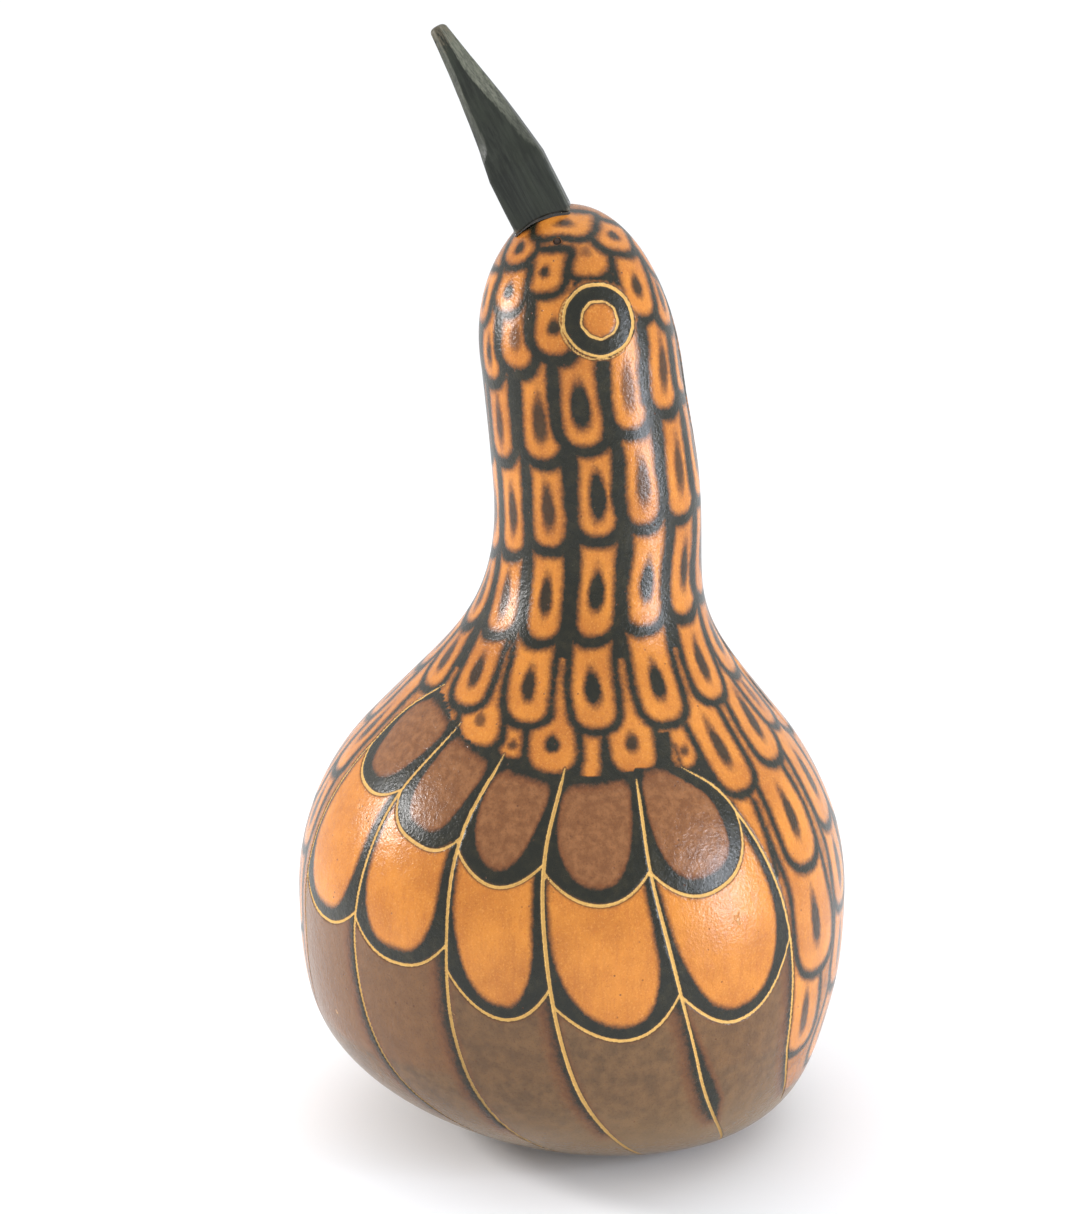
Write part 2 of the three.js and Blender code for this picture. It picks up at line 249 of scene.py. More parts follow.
def gradient_size(function, azimuth, along):
    """How fast a function of (angle, height) changes per millimetre of skin."""
    r = np.interp(along, ALONG, RADIUS)
    step = 0.3
    turn = np.degrees(step / np.maximum(r, 3))
    here = function(azimuth, np.interp(along, ALONG, HEIGHT))
    sideways = function(azimuth + turn, np.interp(along, ALONG, HEIGHT)) - here
    upwards = function(azimuth, np.interp(along + step, ALONG, HEIGHT)) - here
    return here, np.maximum(np.hypot(sideways, upwards) / step, 1e-3)


def rib_distance(index, azimuth, along):
    """Signed millimetres from a rib, positive towards the tail."""
    here, size = gradient_size(lambda a, z: a - spline(RIBS[index], z), azimuth, along)
    return here / size


def scallop_height(row, cell, azimuth, z):
    left_z, right_z, sag, square = SCALLOPS[row][cell]
    left = spline(RIBS[cell], z)
    right = spline(RIBS[cell + 1], z)
    u = np.clip((azimuth - left) / (right - left), 0, 1)
    return left_z + (right_z - left_z) * u - sag * (1 - np.abs(2 * u - 1) ** square)


def scallop_distance(row, cell, azimuth, along):
    """Signed millimetres from a feather end, positive above it."""
    here, size = gradient_size(lambda a, z: z - scallop_height(row, cell, a, z), azimuth, along)
    return here / size


def eye_polar(points, side):
    """Distance and bearing from the eye's middle, measured across the skin, on one side of the head."""
    centre, sideways, upward, _ = skin_frame(EYE_AZIMUTH, EYE_Z)
    local = points * [side, 1, 1] - centre
    u, v = local @ sideways, local @ upward
    away = np.linalg.norm(local, axis=-1) > 16
    return np.where(away, 50.0, np.hypot(u, v)), np.arctan2(v, u)


def line_field(azimuth, along, points):
    """Millimetres outside the nearest incised line (negative in it), its half width and how pale it is."""
    outside = np.full(len(along), 50.0)
    width = np.full(len(along), 0.5)
    pale = np.ones(len(along))
    z = np.interp(along, ALONG, HEIGHT)
    mirrored = np.abs(azimuth)

    def lay(distance, half, shade):
        nonlocal outside, width, pale
        closer = distance - half < outside
        outside = np.where(closer, distance - half, outside)
        width = np.where(closer, half, width)
        pale = np.where(closer, shade, pale)

    for i, rib in enumerate(RIBS):
        top, bottom = max(k[0] for k in rib), min(k[0] for k in rib)
        beyond = np.maximum(z - top, 0) + np.maximum(bottom - z, 0)
        distance = np.hypot(rib_distance(i, mirrored, along), beyond)
        thin = np.clip((top - z) / 8 + 0.45, 0.45, 1) * np.clip((z - bottom) / 18 + 0.5, 0.5, 1)
        swell = 1 + 0.14 * ripple(z / 9, z / 23, i)
        shade = np.clip(0.55 + (z - 40) / 40, 0.35, 1) if i < 3 else np.clip(0.8 + (z - 30) / 60, 0.55, 1)
        lay(distance, RIB_WIDTHS[i] / 2 * thin * swell, shade)
    for row, cells in enumerate(SCALLOPS):
        for cell in range(len(cells)):
            left = rib_distance(cell, mirrored, along)
            right = -rib_distance(cell + 1, mirrored, along)
            beyond = np.maximum(-left, 0) + np.maximum(-right, 0)
            distance = np.hypot(scallop_distance(row, cell, mirrored, along), beyond)
            u = np.clip(left / np.maximum(left + right, 1), 0, 1)
            taper = 0.55 + 0.45 * np.sin(math.pi * (0.1 + 0.8 * u)) + 0.12 * ripple(u * 5, row, cell)
            lay(distance, SCALLOP_WIDTH / 2 * taper, np.ones(len(z)))
    for side in (1, -1):
        ring, bearing = eye_polar(points, side)
        near = ring < 14
        wobble = 0.05 * np.cos(9 * bearing + side) + 0.05 * np.cos(5 * bearing + 2)
        lay(np.where(near, np.abs(ring - EYE_OUTER - wobble), 50), 0.38 + 0.08 * np.cos(bearing - 0.9), 1.0)
        second = np.abs(ring - EYE_OUTER - 0.62 - 0.30 * np.cos(bearing + 2.3))
        thin = 0.08 + 0.12 * np.cos(bearing + 2.3)
        lay(np.where(near & (thin > 0.09), second, 50), thin, 0.8)
        inner = np.abs(ring - EYE_INNER - 1.6 * wobble)
        lay(np.where(near, inner, 50), 0.31 + 0.05 * np.cos(3 * bearing), 1.0)
    return outside, width, pale


# ================================================================ the pattern: small feathers
# Width of the burnt stroke round a small feather, at its sides and its end, on the neck and on the body.
NECK_EDGE, NECK_END = 3.6, 3.2
BODY_EDGE, BODY_END = 2.2, 2.6
CROWN_EDGE = 2.3
# burn where no feather lies, and in the dark gaps of the neck and over the wing
BARE_SKIN, GAP_BURN = 0.45, -1.2
NO_INK = 6.0
# Small feathers lie like tiles: each row hides the tops of the row below it. One feather is the angle and
# height of its bottom end, the angle and height of its top, its width, then how strongly its centre is burnt,
# and the burn's half width and half length, all lengths in mm.
FEATHERS = (
    # under the eye
    (3, 193.5, 3, 206, 7.6, 0.8, 1.2, 3.2), (28, 195, 29.5, 207.5, 7.6, 0.9, 1.2, 3.2),
    (52.5, 198.6, 53, 212, 8.2, 0.45, 1.4, 2.8), (77, 202.3, 78, 214.5, 8.4, 0.95, 1.5, 2.0),
    (129, 210, 134, 223, 8.4, 0.9, 1.3, 3.8), (162, 207.5, 166, 220, 8.6, 0.9, 1.4, 3.6),
    # neck, four rows
    (4, 175, 5, 190.5, 8.8, 0.8, 1.5, 4.6), (31, 175.8, 33, 192.7, 8.8, 0.75, 1.4, 5.2),
    (61.5, 177.2, 64.5, 195.0, 8.6, 0.85, 1.8, 5.4), (86.5, 180.9, 88.5, 199.3, 8.7, 1.0, 2.4, 5.7),
    (114.5, 184.6, 117.5, 203.0, 8.0, 0.45, 1.5, 5.0), (141, 188.3, 146.5, 208.1, 9.2, 0.8, 1.5, 5.6),
    (168.5, 190.5, 171, 206, 8.8, 0.9, 1.7, 5.2),
    (10, 151.5, 11, 170.5, 8.6, 0.8, 1.5, 5.2), (36, 153, 37.5, 172.4, 8.4, 0.85, 1.6, 5.4),
    (62, 155.9, 63, 174.4, 8.0, 0.85, 1.7, 5.4), (89.5, 158.9, 91, 177.9, 8.2, 1.0, 2.0, 6.2),
    (115, 161.6, 117, 181.6, 7.8, 0.75, 1.7, 5.6), (142, 162.4, 146, 184.8, 9.2, 0.75, 1.5, 5.8),
    (168.5, 165, 171, 187, 8.8, 0.9, 1.7, 5.4),
    (14, 133.5, 11, 148.5, 9.0, 0.8, 1.5, 5.0), (41, 134.2, 36, 150.2, 9.0, 0.85, 1.6, 5.0),
    (67, 134.4, 62.5, 153.0, 8.2, 0.95, 1.7, 4.8), (91.5, 135.1, 90.3, 155.9, 8.2, 1.0, 2.0, 5.0),
    (116.5, 137.1, 118.5, 157.3, 8.8, 1.0, 1.9, 4.8), (143.5, 138, 147, 160, 9.8, 0.9, 1.6, 5.6),
    (168.5, 140.5, 171, 162, 9.4, 0.9, 1.7, 5.2),
    (0, 120.5, 0, 133.5, 9.2, 0.8, 1.6, 3.8), (24.5, 119.3, 16, 132, 9.6, 0.85, 1.8, 4.2),
    (48, 118.4, 41, 132, 10.0, 0.9, 1.8, 4.2), (72.5, 117.3, 66, 131.6, 10.2, 0.95, 1.8, 4.2),
    (95.3, 116.5, 92, 132.3, 9.4, 1.0, 2.0, 4.6), (119.5, 116.5, 118, 133.2, 10.6, 1.0, 2.1, 5.2),
    (143, 118.8, 146.5, 135, 10.6, 0.9, 1.8, 5.4), (168, 121, 171, 138, 10.6, 0.9, 1.9, 5.0),
    # over the wing
    (60.5, 111.4, 54, 121.0, 10.6, 0.5, 1.4, 1.7), (84, 107.6, 81, 118.5, 10.4, 1.0, 1.8, 2.3),
    (106.4, 107.2, 106, 118.5, 10.4, 0.9, 1.5, 2.5), (134.5, 100.4, 133, 119.0, 10.8, 0.9, 1.7, 6.2),
    (71.5, 110.0, 70.8, 114.4, 6.0, 0.75, 1.1, 1.2), (94, 106.2, 94, 114.6, 4.0, 0.0, 0.5, 1.0),
    (120.6, 107.2, 122.0, 113.4, 6.2, 0.75, 1.1, 1.3),
    # between the wings' trailing edges
    (153, 103.5, 157, 121, 12.0, 0.9, 1.8, 6.4), (180, 104.5, 180, 122, 12.2, 0.9, 1.8, 6.0),
    (168, 108.5, 167, 124, 8.0, 0.5, 1.2, 4.6), (133.5, 80, 133, 98, 5.5, 0.0, 1.0, 4.0),
    (148, 80.3, 147, 102, 13.2, 0.9, 1.8, 6.2), (165, 84.8, 167, 105.5, 13.0, 0.9, 1.8, 6.0),
    (180, 81, 180, 102, 13.6, 0.9, 1.8, 6.0),
    (150, 52.6, 147, 78.5, 17.6, 0.9, 2.0, 6.8), (165, 63.8, 165, 83.0, 13.0, 0.9, 1.8, 6.0),
    (180, 57.5, 180, 78.5, 15.0, 0.9, 1.9, 6.0),
    (147.6, 31.6, 145.5, 52.0, 13.4, 0.8, 1.6, 6.0), (164.5, 42.8, 165, 61.5, 14.0, 0.8, 1.7, 5.6),
    (180, 36, 180, 55, 14.6, 0.8, 1.7, 5.6), (163, 22, 164, 40.5, 13.6, 0.7, 1.5, 5.0),
    (180, 17, 180, 34, 13.0, 0.7, 1.5, 4.6),
    # between the wings' leading edges
    (0, 107.2, 0, 120, 9.2, 0.8, 1.5, 4.2), (11.3, 96, 12.5, 117, 8.6, 0.9, 1.5, 5.2),
    (0, 86.5, 0, 105, 10.0, 0.9, 1.6, 5.4), (9.8, 76, 10.2, 95, 9.4, 0.9, 1.5, 5.4),
    (0, 66, 0, 84, 11.0, 0.9, 1.6, 5.4), (9.8, 55.5, 9.8, 74.5, 10.2, 0.9, 1.6, 5.4),
    (0, 45.5, 0, 64, 11.2, 0.8, 1.6, 5.4), (10, 36, 10, 54, 10.2, 0.8, 1.5, 5.2),
    (0, 26, 0, 43.5, 10.2, 0.7, 1.5, 4.8), (12, 20, 11.5, 34, 9.6, 0.6, 1.4, 4.2),
)
# Feathers on the crown: angle and height of the middle, width, height, tilt, burn strength and half sizes.
CROWN = (
    (160, 226.5, 8.0, 9.0, -8, 0.8, 1.3, 1.7), (180, 223.5, 8.8, 10.4, 0, 0.8, 1.4, 2.0),
    (138.0, 217.4, 9.4, 14.4, -4, 0.9, 1.5, 2.8), (103.5, 225.6, 10.4, 11.8, -4, 0.15, 1.0, 1.0),
    (138.5, 229.0, 10.4, 8.4, -20, 0.9, 1.7, 1.4), (71.0, 221.2, 8.4, 9.6, 0, 0.95, 1.3, 1.5),
    (43.5, 216.6, 8.8, 9.8, 4, 1.0, 1.6, 2.1), (14, 213.6, 8.4, 12.0, 0, 0.8, 1.5, 2.8),
    (40, 226.4, 9.0, 9.0, 16, 0.95, 1.5, 1.9), (82, 232.0, 12.6, 8.0, 0, 0.85, 1.9, 1.3),
)


class Pattern:
    """What the skin's material needs at each point.

    burn is the distance from the nearest burnt edge, negative inside it. ink is the distance outside the
    burnt drop in a small feather's middle and soot is how strong that drop is. dye is 0 for orange, 0.15 for
    the eye, 1 for the upper wing feathers, 1.85 to 2 for the long ones and up to 3 for the underside.
    """

    def __init__(self, azimuth, along, points):
        self.azimuth = azimuth
        self.along = along
        self.points = points
        self.z = np.interp(along, ALONG, HEIGHT)
        self.radius = np.interp(along, ALONG, RADIUS)
        side = np.abs(azimuth)
        over_wing = (side > 52) & (side < 130) & (self.z > 103) & (self.z < 114.5)
        self.burn = np.where((self.z > 125) & (self.z < 198) | over_wing, GAP_BURN, BARE_SKIN)
        self.dye = np.zeros(len(along))
        self.ink = np.full(len(along), NO_INK)
        self.soot = np.zeros(len(along))

    def tile(self, chosen, inside, edge, ink, soot):
        """Lays one feather over what is there: its inside, then a burnt stroke of a given width round it."""
        mine = inside > -edge
        covered = chosen[mine]
        stroke = np.abs(inside[mine] + edge[mine] / 2) - edge[mine] / 2
        outer_half = inside[mine] < -edge[mine] / 2
        self.burn[covered] = np.where(outer_half, np.minimum(stroke, self.burn[covered]), stroke)
        self.ink[covered] = np.where(inside[mine] > 0, ink[mine], NO_INK)
        self.soot[covered] = soot
        self.dye[covered] = 0.0
        rest = chosen[~mine]
        self.burn[rest] = np.minimum(self.burn[rest], -inside[~mine] - edge[~mine])

    def drop(self, u, v, half_w, half_h):
        """Millimetres outside a burnt drop: pointed above, round below."""
        t = np.clip(v / half_h, -1, 1)
        narrow = half_w * (1 - 0.24 * t)
        reach = np.sqrt((u / narrow) ** 2 + (v / half_h) ** 2)
        return (reach - 1) * np.minimum(narrow, half_h)

    def feather(self, low_azimuth, low_z, top_azimuth, top_z, width, strength, blot_w, blot_h):
        neck = low_z > 125
        low, top = float(along_at(low_z)), float(along_at(top_z))
        reach = top + (6 if neck else 2 if width < 7 else 15)
        near = (self.along > low - 5) & (self.along < reach)
        share = (self.along - low) / (top - low)
        middle = low_azimuth + (top_azimuth - low_azimuth) * np.clip(share, 0, 1.4)
        across = (self.azimuth - middle + 180) % 360 - 180
        u = np.radians(across) * self.radius
        near &= np.abs(u) < width / 2 + 5
        chosen = np.flatnonzero(near)
        u, v = u[near], self.along[near] - low
        seed = low_azimuth * 0.37 + low_z * 0.11
        u = u + 0.28 * ripple(v / 5, u / 5, seed)
        v = v + 0.30 * ripple(u / 4, v / 6, seed + 1)
        half = width / 2 * (1 - 0.05 * np.cos(np.clip(share[near], 0, 1) * 2 * math.pi + 0.6))
        inside = rounded_min(half - np.abs(u), v, width * 0.40)
        edge, end = (NECK_EDGE, NECK_END) if neck else (BODY_EDGE, BODY_END)
        edge = edge + (end - edge) * np.clip(1 - v / (width / 2), 0, 1)
        edge = edge * (1 + 0.10 * ripple(v / 3, u / 3, seed + 2))
        length = top - low
        drop = np.full(len(u), NO_INK)
        if strength > 0:
            drop = self.drop(u, v - 0.52 * length, blot_w, blot_h)
        fade = np.clip((reach - self.along[near]) / 3, 0, 1)
        self.tile(chosen, np.where(fade > 0, inside, -9), edge * fade, drop, strength)

    def crown_feather(self, azimuth, z, width, height, tilt, strength, blot_w, blot_h):
        centre, sideways, upward, outward = skin_frame(azimuth, z)
        offset = self.points - centre
        near = np.einsum("ij,ij->i", offset, offset) < (0.6 * math.hypot(width, height) + 4) ** 2
        chosen = np.flatnonzero(near)
        offset = offset[near]
        u, v = offset @ sideways, offset @ upward
        seed = azimuth * 0.37 + z * 0.11
        u = u + 0.3 * ripple(v / 4, u / 4, seed)
        v = v + 0.3 * ripple(u / 4, v / 4, seed + 1)
        a = math.radians(tilt)
        u, v = u * math.cos(a) + v * math.sin(a), v * math.cos(a) - u * math.sin(a)
        inside = rounded_min(width / 2 - np.abs(u), v + height / 2, min(width, height) * 0.42)
        inside = rounded_min(inside, height / 2 + 0.03 * u * u - v, 1.2)
        edge = np.full(len(u), CROWN_EDGE)
        self.tile(chosen, inside, edge, self.drop(u, v, blot_w, blot_h), strength)

    def small_feathers(self):
        """Lowest feathers first, so that each row covers the one below."""
        for feather in sorted(FEATHERS, key=lambda item: item[1] - 12 * (item[4] < 7)):
            low, z, top, *rest = feather
            self.feather(low, z, top, *rest)
            if 0 < low < 180:
                self.feather(-low, z, -top, *rest)
        for azimuth, z, width, height, tilt, *rest in CROWN:
            self.crown_feather(azimuth, z, width, height, tilt, *rest)
            if 0 < azimuth < 180:
                self.crown_feather(-azimuth, z, width, height, -tilt, *rest)

    def clear_wing(self):
        """Nothing of the small feathers shows inside a wing, and its edge is singed outside too."""
        a = np.abs(self.azimuth)
        leading = rib_distance(0, a, self.along)
        trailing = -rib_distance(5, a, self.along)
        below_top = spline(WING_TOP, a) - self.z
        wing = (leading > 0) & (trailing > 0) & (below_top > 0)
        edge = np.minimum(np.abs(leading), np.abs(trailing)) - 0.5
        edge = np.where(wing, -6.0, np.minimum(self.burn, edge))
        self.burn = np.where(wing | (self.z < 112), edge, self.burn)
        self.ink = np.where(wing, NO_INK, self.ink)

    def lay(self, where, inside, dye):
        """Adds one unburnt island to a wing."""
        better = inside > self.burn[where]
        chosen = np.flatnonzero(where)[better]
        self.burn[chosen] = inside[better]
        self.dye[chosen] = dye if np.isscalar(dye) else dye[better]

    def wings(self):
        a = np.abs(self.azimuth)
        lines = [rib_distance(i, a, self.along) for i in range(len(RIBS))]
        slow = ripple(a / 9, self.z / 7, 2)
        above = (spline(WING_TOP, a) - self.z) * 0.8 - 1.2 + 0.6 * slow
        for cell in range(len(RIBS) - 1):
            where = (lines[cell] > -2) & (lines[cell + 1] < 2) & (above > -8)
            left, right = lines[cell][where], -lines[cell + 1][where]
            z, azimuth, along = self.z[where], a[where], self.along[where]
            ends = [scallop_distance(row, cell, azimuth, along) for row in (0, 1)]
            starts = [above[where], -ends[0]]
            for row in (0, 1):
                down = np.clip(1 - ends[row] / TONGUE_REACH[row], 0, 1)
                left_edge = TONGUE_LEFT[0] + (TONGUE_LEFT[1] - TONGUE_LEFT[0]) * down
                right_edge = TONGUE_RIGHT[0] + (TONGUE_RIGHT[1] - TONGUE_RIGHT[0]) * down
                inside = rounded_min(left - left_edge, ends[row] - TONGUE_BOTTOMS[row], TONGUE_ROUND)
                inside = rounded_min(inside, right - right_edge, TONGUE_ROUND)
                if row == 0:
                    inside = rounded_min(inside, starts[row], 2.5)
                else:
                    inside = np.minimum(inside, starts[row])
                self.lay(where, inside + 0.2 * slow[where], 1.0 - row)
            wedge = 0.0
            if cell == 4:       # a burnt wedge beside the fifth rib
                wedge = 3.4 * np.clip((52 - z) / 22, 0, 1) * np.clip((z - 18) / 8, 0, 1)
            inside = np.minimum(0.8 * (left - 0.2 - wedge), 0.42 * (right - 2.5 + 0.5 * slow[where]))
            inside = np.minimum(inside, -ends[1])
            dye = 2.0 - 0.15 * LONG_WARMTH[cell] + np.clip((36 - z) / 26, 0, 1)
            self.lay(where, np.minimum(inside, 0.2 * (z + 12)), dye)

    def foot(self):
        """The rest of the underside is dyed like the long feathers."""
        low = self.z < 20
        self.lay(low, (19 - self.z[low]) * 0.4, 3.0)

    def brad(self):
        """Rust has stained the skin round the brad."""
        away = np.linalg.norm(self.points - BRAD_SKIN, axis=1)
        near = away < 3
        self.burn[near] = np.minimum(self.burn[near], away[near] - 1.25)

    def eyes(self):
        for side in (1, -1):
            ring, _ = eye_polar(self.points, side)
            eye = ring < EYE_OUTER + 0.3
            self.burn[eye] = np.minimum(EYE_INNER - 0.2 - ring[eye], 3.0)
            self.dye[eye] = 0.15
            self.ink[eye] = NO_INK
            rim = (ring >= EYE_OUTER + 0.3) & (ring < EYE_OUTER + 1.3)
            self.burn[rim] = np.maximum(self.burn[rim], 0.0)


def paint(azimuth, along, points):
    pattern = Pattern(azimuth, along, points)
    pattern.small_feathers()
    pattern.clear_wing()
    pattern.wings()
    pattern.foot()
    pattern.eyes()
    pattern.brad()
    return pattern


# ================================================================ rasp
def cut_heights():
    start = along_at(CUT_FIRST_Z)
    return np.interp(start + CUT_PITCH * np.arange(CUT_COUNT), ALONG, HEIGHT)


def rasp_depth(points, outwards):
    """How deep the straight file cuts go below each point of the skin, along its normal."""
    depth = np.zeros(len(points))
    near = (points[:, 0] < -20) & (np.abs(points[:, 1]) < 30) & (points[:, 2] < 140)
    spots = points[near]
    deepest = np.zeros(len(spots))
    for number, z in enumerate(cut_heights()):
        centre, _, upward, outward = skin_frame(RASP_AZIMUTH, z)
        wander = 0.25 * ripple(spots[:, 1] / 14, 0, number)
        local = spots - (centre - outward * (CUT_DEPTH + 0.12 * math.sin(3.7 * number)))
        above = local @ outward
        across = np.abs(local @ upward + wander)
        cut = above - across / math.tan(CUT_HALF_ANGLE)
        facing = np.maximum(outwards[near] @ outward, 0.5)
        deepest = np.maximum(deepest, cut / facing)
    depth[near] = np.maximum(deepest, 0)
    return depth


# ================================================================ meshes
def add_mesh(name, vertices, faces, smooth=True):
    """A mesh object from millimetre points."""
    mesh = bpy.data.meshes.new(name)
    mesh.from_pydata((np.asarray(vertices, float) * MM).tolist(), [], [list(map(int, f)) for f in faces])
    mesh.update()
    if smooth:
        mesh.shade_smooth()
    piece = bpy.data.objects.new(name, mesh)
    bpy.context.scene.collection.objects.link(piece)
    return piece


def ring_counts(alongs, spacing):
    r = np.interp(alongs, ALONG, RADIUS)
    return np.maximum(8, np.round(2 * math.pi * r / spacing)).astype(int)


def stitch(first_a, turns_a, first_b, turns_b):
    """Triangles between two rings of points with sorted turns, lower ring first."""
    triangles = []
    na, nb = len(turns_a), len(turns_b)
    i = j = 0
    while i < na or j < nb:
        next_a = turns_a[i + 1] if i + 1 < na else turns_a[0] + 2 * math.pi
        next_b = turns_b[j + 1] if j + 1 < nb else turns_b[0] + 2 * math.pi
        a, b = first_a + i % na, first_b + j % nb
        if j >= nb or (i < na and next_a <= next_b):
            triangles.append((a, first_a + (i + 1) % na, b))
            i += 1
        else:
            triangles.append((a, first_b + (j + 1) % nb, b))
            j += 1
    return triangles


def turned_grid(spacing):
    """Even triangles over the whole outline, as distances along it, turns and triangles."""
    rows = int(round(SKIN_LENGTH / (spacing * 0.9)))
    alongs = np.linspace(0, SKIN_LENGTH, rows + 1)[1:-1]
    counts = ring_counts(alongs, spacing)
    along, turn, triangles = [0.0], [0.0], []
    starts = []
    for number, (a, n) in enumerate(zip(alongs, counts)):
        starts.append(len(along))
        offset = 0.5 * (number % 2) * 2 * math.pi / n
        along.extend([a] * n)
        turn.extend(offset + 2 * math.pi * np.arange(n) / n)
    turns = [np.array(turn[s:s + n]) for s, n in zip(starts, counts)]
    for k in range(counts[0]):
        triangles.append((0, starts[0] + (k + 1) % counts[0], starts[0] + k))
    for k in range(len(starts) - 1):
        triangles.extend(stitch(starts[k], turns[k], starts[k + 1], turns[k + 1]))
    top = len(along)
    along.append(SKIN_LENGTH)
    turn.append(0.0)
    for k in range(counts[-1]):
        triangles.append((starts[-1] + k, starts[-1] + (k + 1) % counts[-1], top))
    return np.array(along), np.array(turn), np.array(triangles)


def sides_of(triangles):
    """Every side of every triangle, its lower end first."""
    return np.sort(np.vstack([triangles[:, [0, 1]], triangles[:, [1, 2]], triangles[:, [2, 0]]]), axis=1)


def refine(along, turn, triangles, wanted):
    """Splits the edges whose middle is wanted, and every triangle that touches one."""
    unique, index = np.unique(sides_of(triangles), axis=0, return_inverse=True)
    a, b = unique[:, 0], unique[:, 1]
    middle_along = (along[a] + along[b]) / 2
    middle_turn = np.arctan2(np.sin(turn[a]) + np.sin(turn[b]), np.cos(turn[a]) + np.cos(turn[b]))
    split = wanted(middle_along, middle_turn)
    number = np.full(len(unique), -1)
    number[split] = len(along) + np.arange(split.sum())
    mids = number[index.reshape(3, -1).T]
    out = []
    counts = (mids >= 0).sum(1)
    out.append(triangles[counts == 0])
    whole = counts == 3
    t, m = triangles[whole], mids[whole]
    out += [np.c_[t[:, 0], m[:, 0], m[:, 2]], np.c_[m[:, 0], t[:, 1], m[:, 1]]]
    out += [np.c_[m[:, 2], m[:, 1], t[:, 2]], np.c_[m[:, 0], m[:, 1], m[:, 2]]]
    for k in range(3):
        order = [k, (k + 1) % 3, (k + 2) % 3]
        one = (counts == 1) & (mids[:, k] >= 0)
        t, m = triangles[one][:, order], mids[one][:, k]
        out += [np.c_[t[:, 0], m, t[:, 2]], np.c_[m, t[:, 1], t[:, 2]]]
        two = (counts == 2) & (mids[:, order[2]] < 0)
        t = triangles[two][:, order]
        m0, m1 = mids[two][:, order[0]], mids[two][:, order[1]]
        out += [np.c_[m0, t[:, 1], m1], np.c_[t[:, 0], m0, m1], np.c_[t[:, 0], m1, t[:, 2]]]
    along = np.concatenate([along, middle_along[split]])
    turn = np.concatenate([turn, middle_turn[split]])
    return along, turn, np.vstack(out)


def refine_large(along, turn, triangles, wanted, longest):
    """Splits every wanted edge longer than a length in millimetres."""
    def long_and_wanted(a, t):
        return wanted(a, t) & (edge_length > longest)

    ends = skin_points(along, turn)
    edges = np.unique(sides_of(triangles), axis=0)
    edge_length = np.linalg.norm(ends[edges[:, 0]] - ends[edges[:, 1]], axis=1)
    return refine(along, turn, triangles, long_and_wanted)


def wrapped(turn):
    """Angle from the beak in degrees, from -180 to 180."""
    return (np.degrees(turn) + 180) % 360 - 180


def skin_normals(along, turn):
    dr = np.interp(along, ALONG, SLOPE_R)
    dz = np.interp(along, ALONG, SLOPE_Z)
    normal = np.stack([np.sin(turn) * dz, -np.cos(turn) * dz, -dr], -1)
    return normal / np.linalg.norm(normal, axis=1, keepdims=True)


def store(mesh, name, values):
    layer = mesh.attributes.new(name, "FLOAT", "POINT")
    layer.data.foreach_set("value", np.asarray(values, np.float32))


def load_values(mesh, name):
    values = np.zeros(len(mesh.vertices), np.float32)
    mesh.attributes[name].data.foreach_get("value", values)
    return values


def bar(name, radius, start, direction, length, sides=64):
    """A closed round bar for cutting, from a millimetre point along a direction."""
    turn = np.linspace(0, 2 * math.pi, sides, endpoint=False)
    circle = np.c_[radius * np.cos(turn), radius * np.sin(turn), np.zeros(sides)]
    points = np.vstack([circle, circle + [0, 0, length], [[0, 0, 0], [0, 0, length]]])
    faces = []
    for k in range(sides):
        n = (k + 1) % sides
        faces += [(k, n, sides + n, sides + k), (n, k, 2 * sides), (sides + k, sides + n, 2 * sides + 1)]
    spin = np.array(Vector((0, 0, 1)).rotation_difference(Vector(direction)).to_matrix())
    return add_mesh(name, points @ spin.T + start, faces, smooth=False)


def cut_away(piece, cutters):
    """Subtracts closed cutters from a piece and removes them. What they cut is burnt and not outer skin."""
    for cutter in cutters:
        store(cutter.data, "outer", np.zeros(len(cutter.data.vertices)))
        store(cutter.data, "burn", np.full(len(cutter.data.vertices), -3.0))
        step = piece.modifiers.new("cut", "BOOLEAN")
        step.operation = "DIFFERENCE"
        step.solver = "MANIFOLD"
        step.object = cutter
    bpy.context.view_layer.update()
    evaluated = piece.evaluated_get(bpy.context.evaluated_depsgraph_get())
    result = bpy.data.meshes.new_from_object(evaluated)
    piece.modifiers.clear()
    piece.data = result
    for cutter in cutters:
        bpy.data.objects.remove(cutter)


def hole_gap(points):
    """Millimetres from each point to the rim of the nearest bored hole."""
    hole, _, _, hole_out = skin_frame(HOLE_AZIMUTH, HOLE_Z)
    gaps = []
    for start, direction, radius in (
        (hole, hole_out, HOLE_RADIUS), (SEAT, BEAK_AXIS, SEAT_CUT_RADIUS), (BRAD_SKIN, BRAD_INWARDS, 1.0),
    ):
        offset = points - start
        aside = np.linalg.norm(offset - (offset @ direction)[:, None] * direction, axis=1)
        gaps.append(np.where(np.linalg.norm(offset, axis=1) < 2 * radius + 5, np.abs(aside - radius), 50))
    return np.minimum.reduce(gaps)


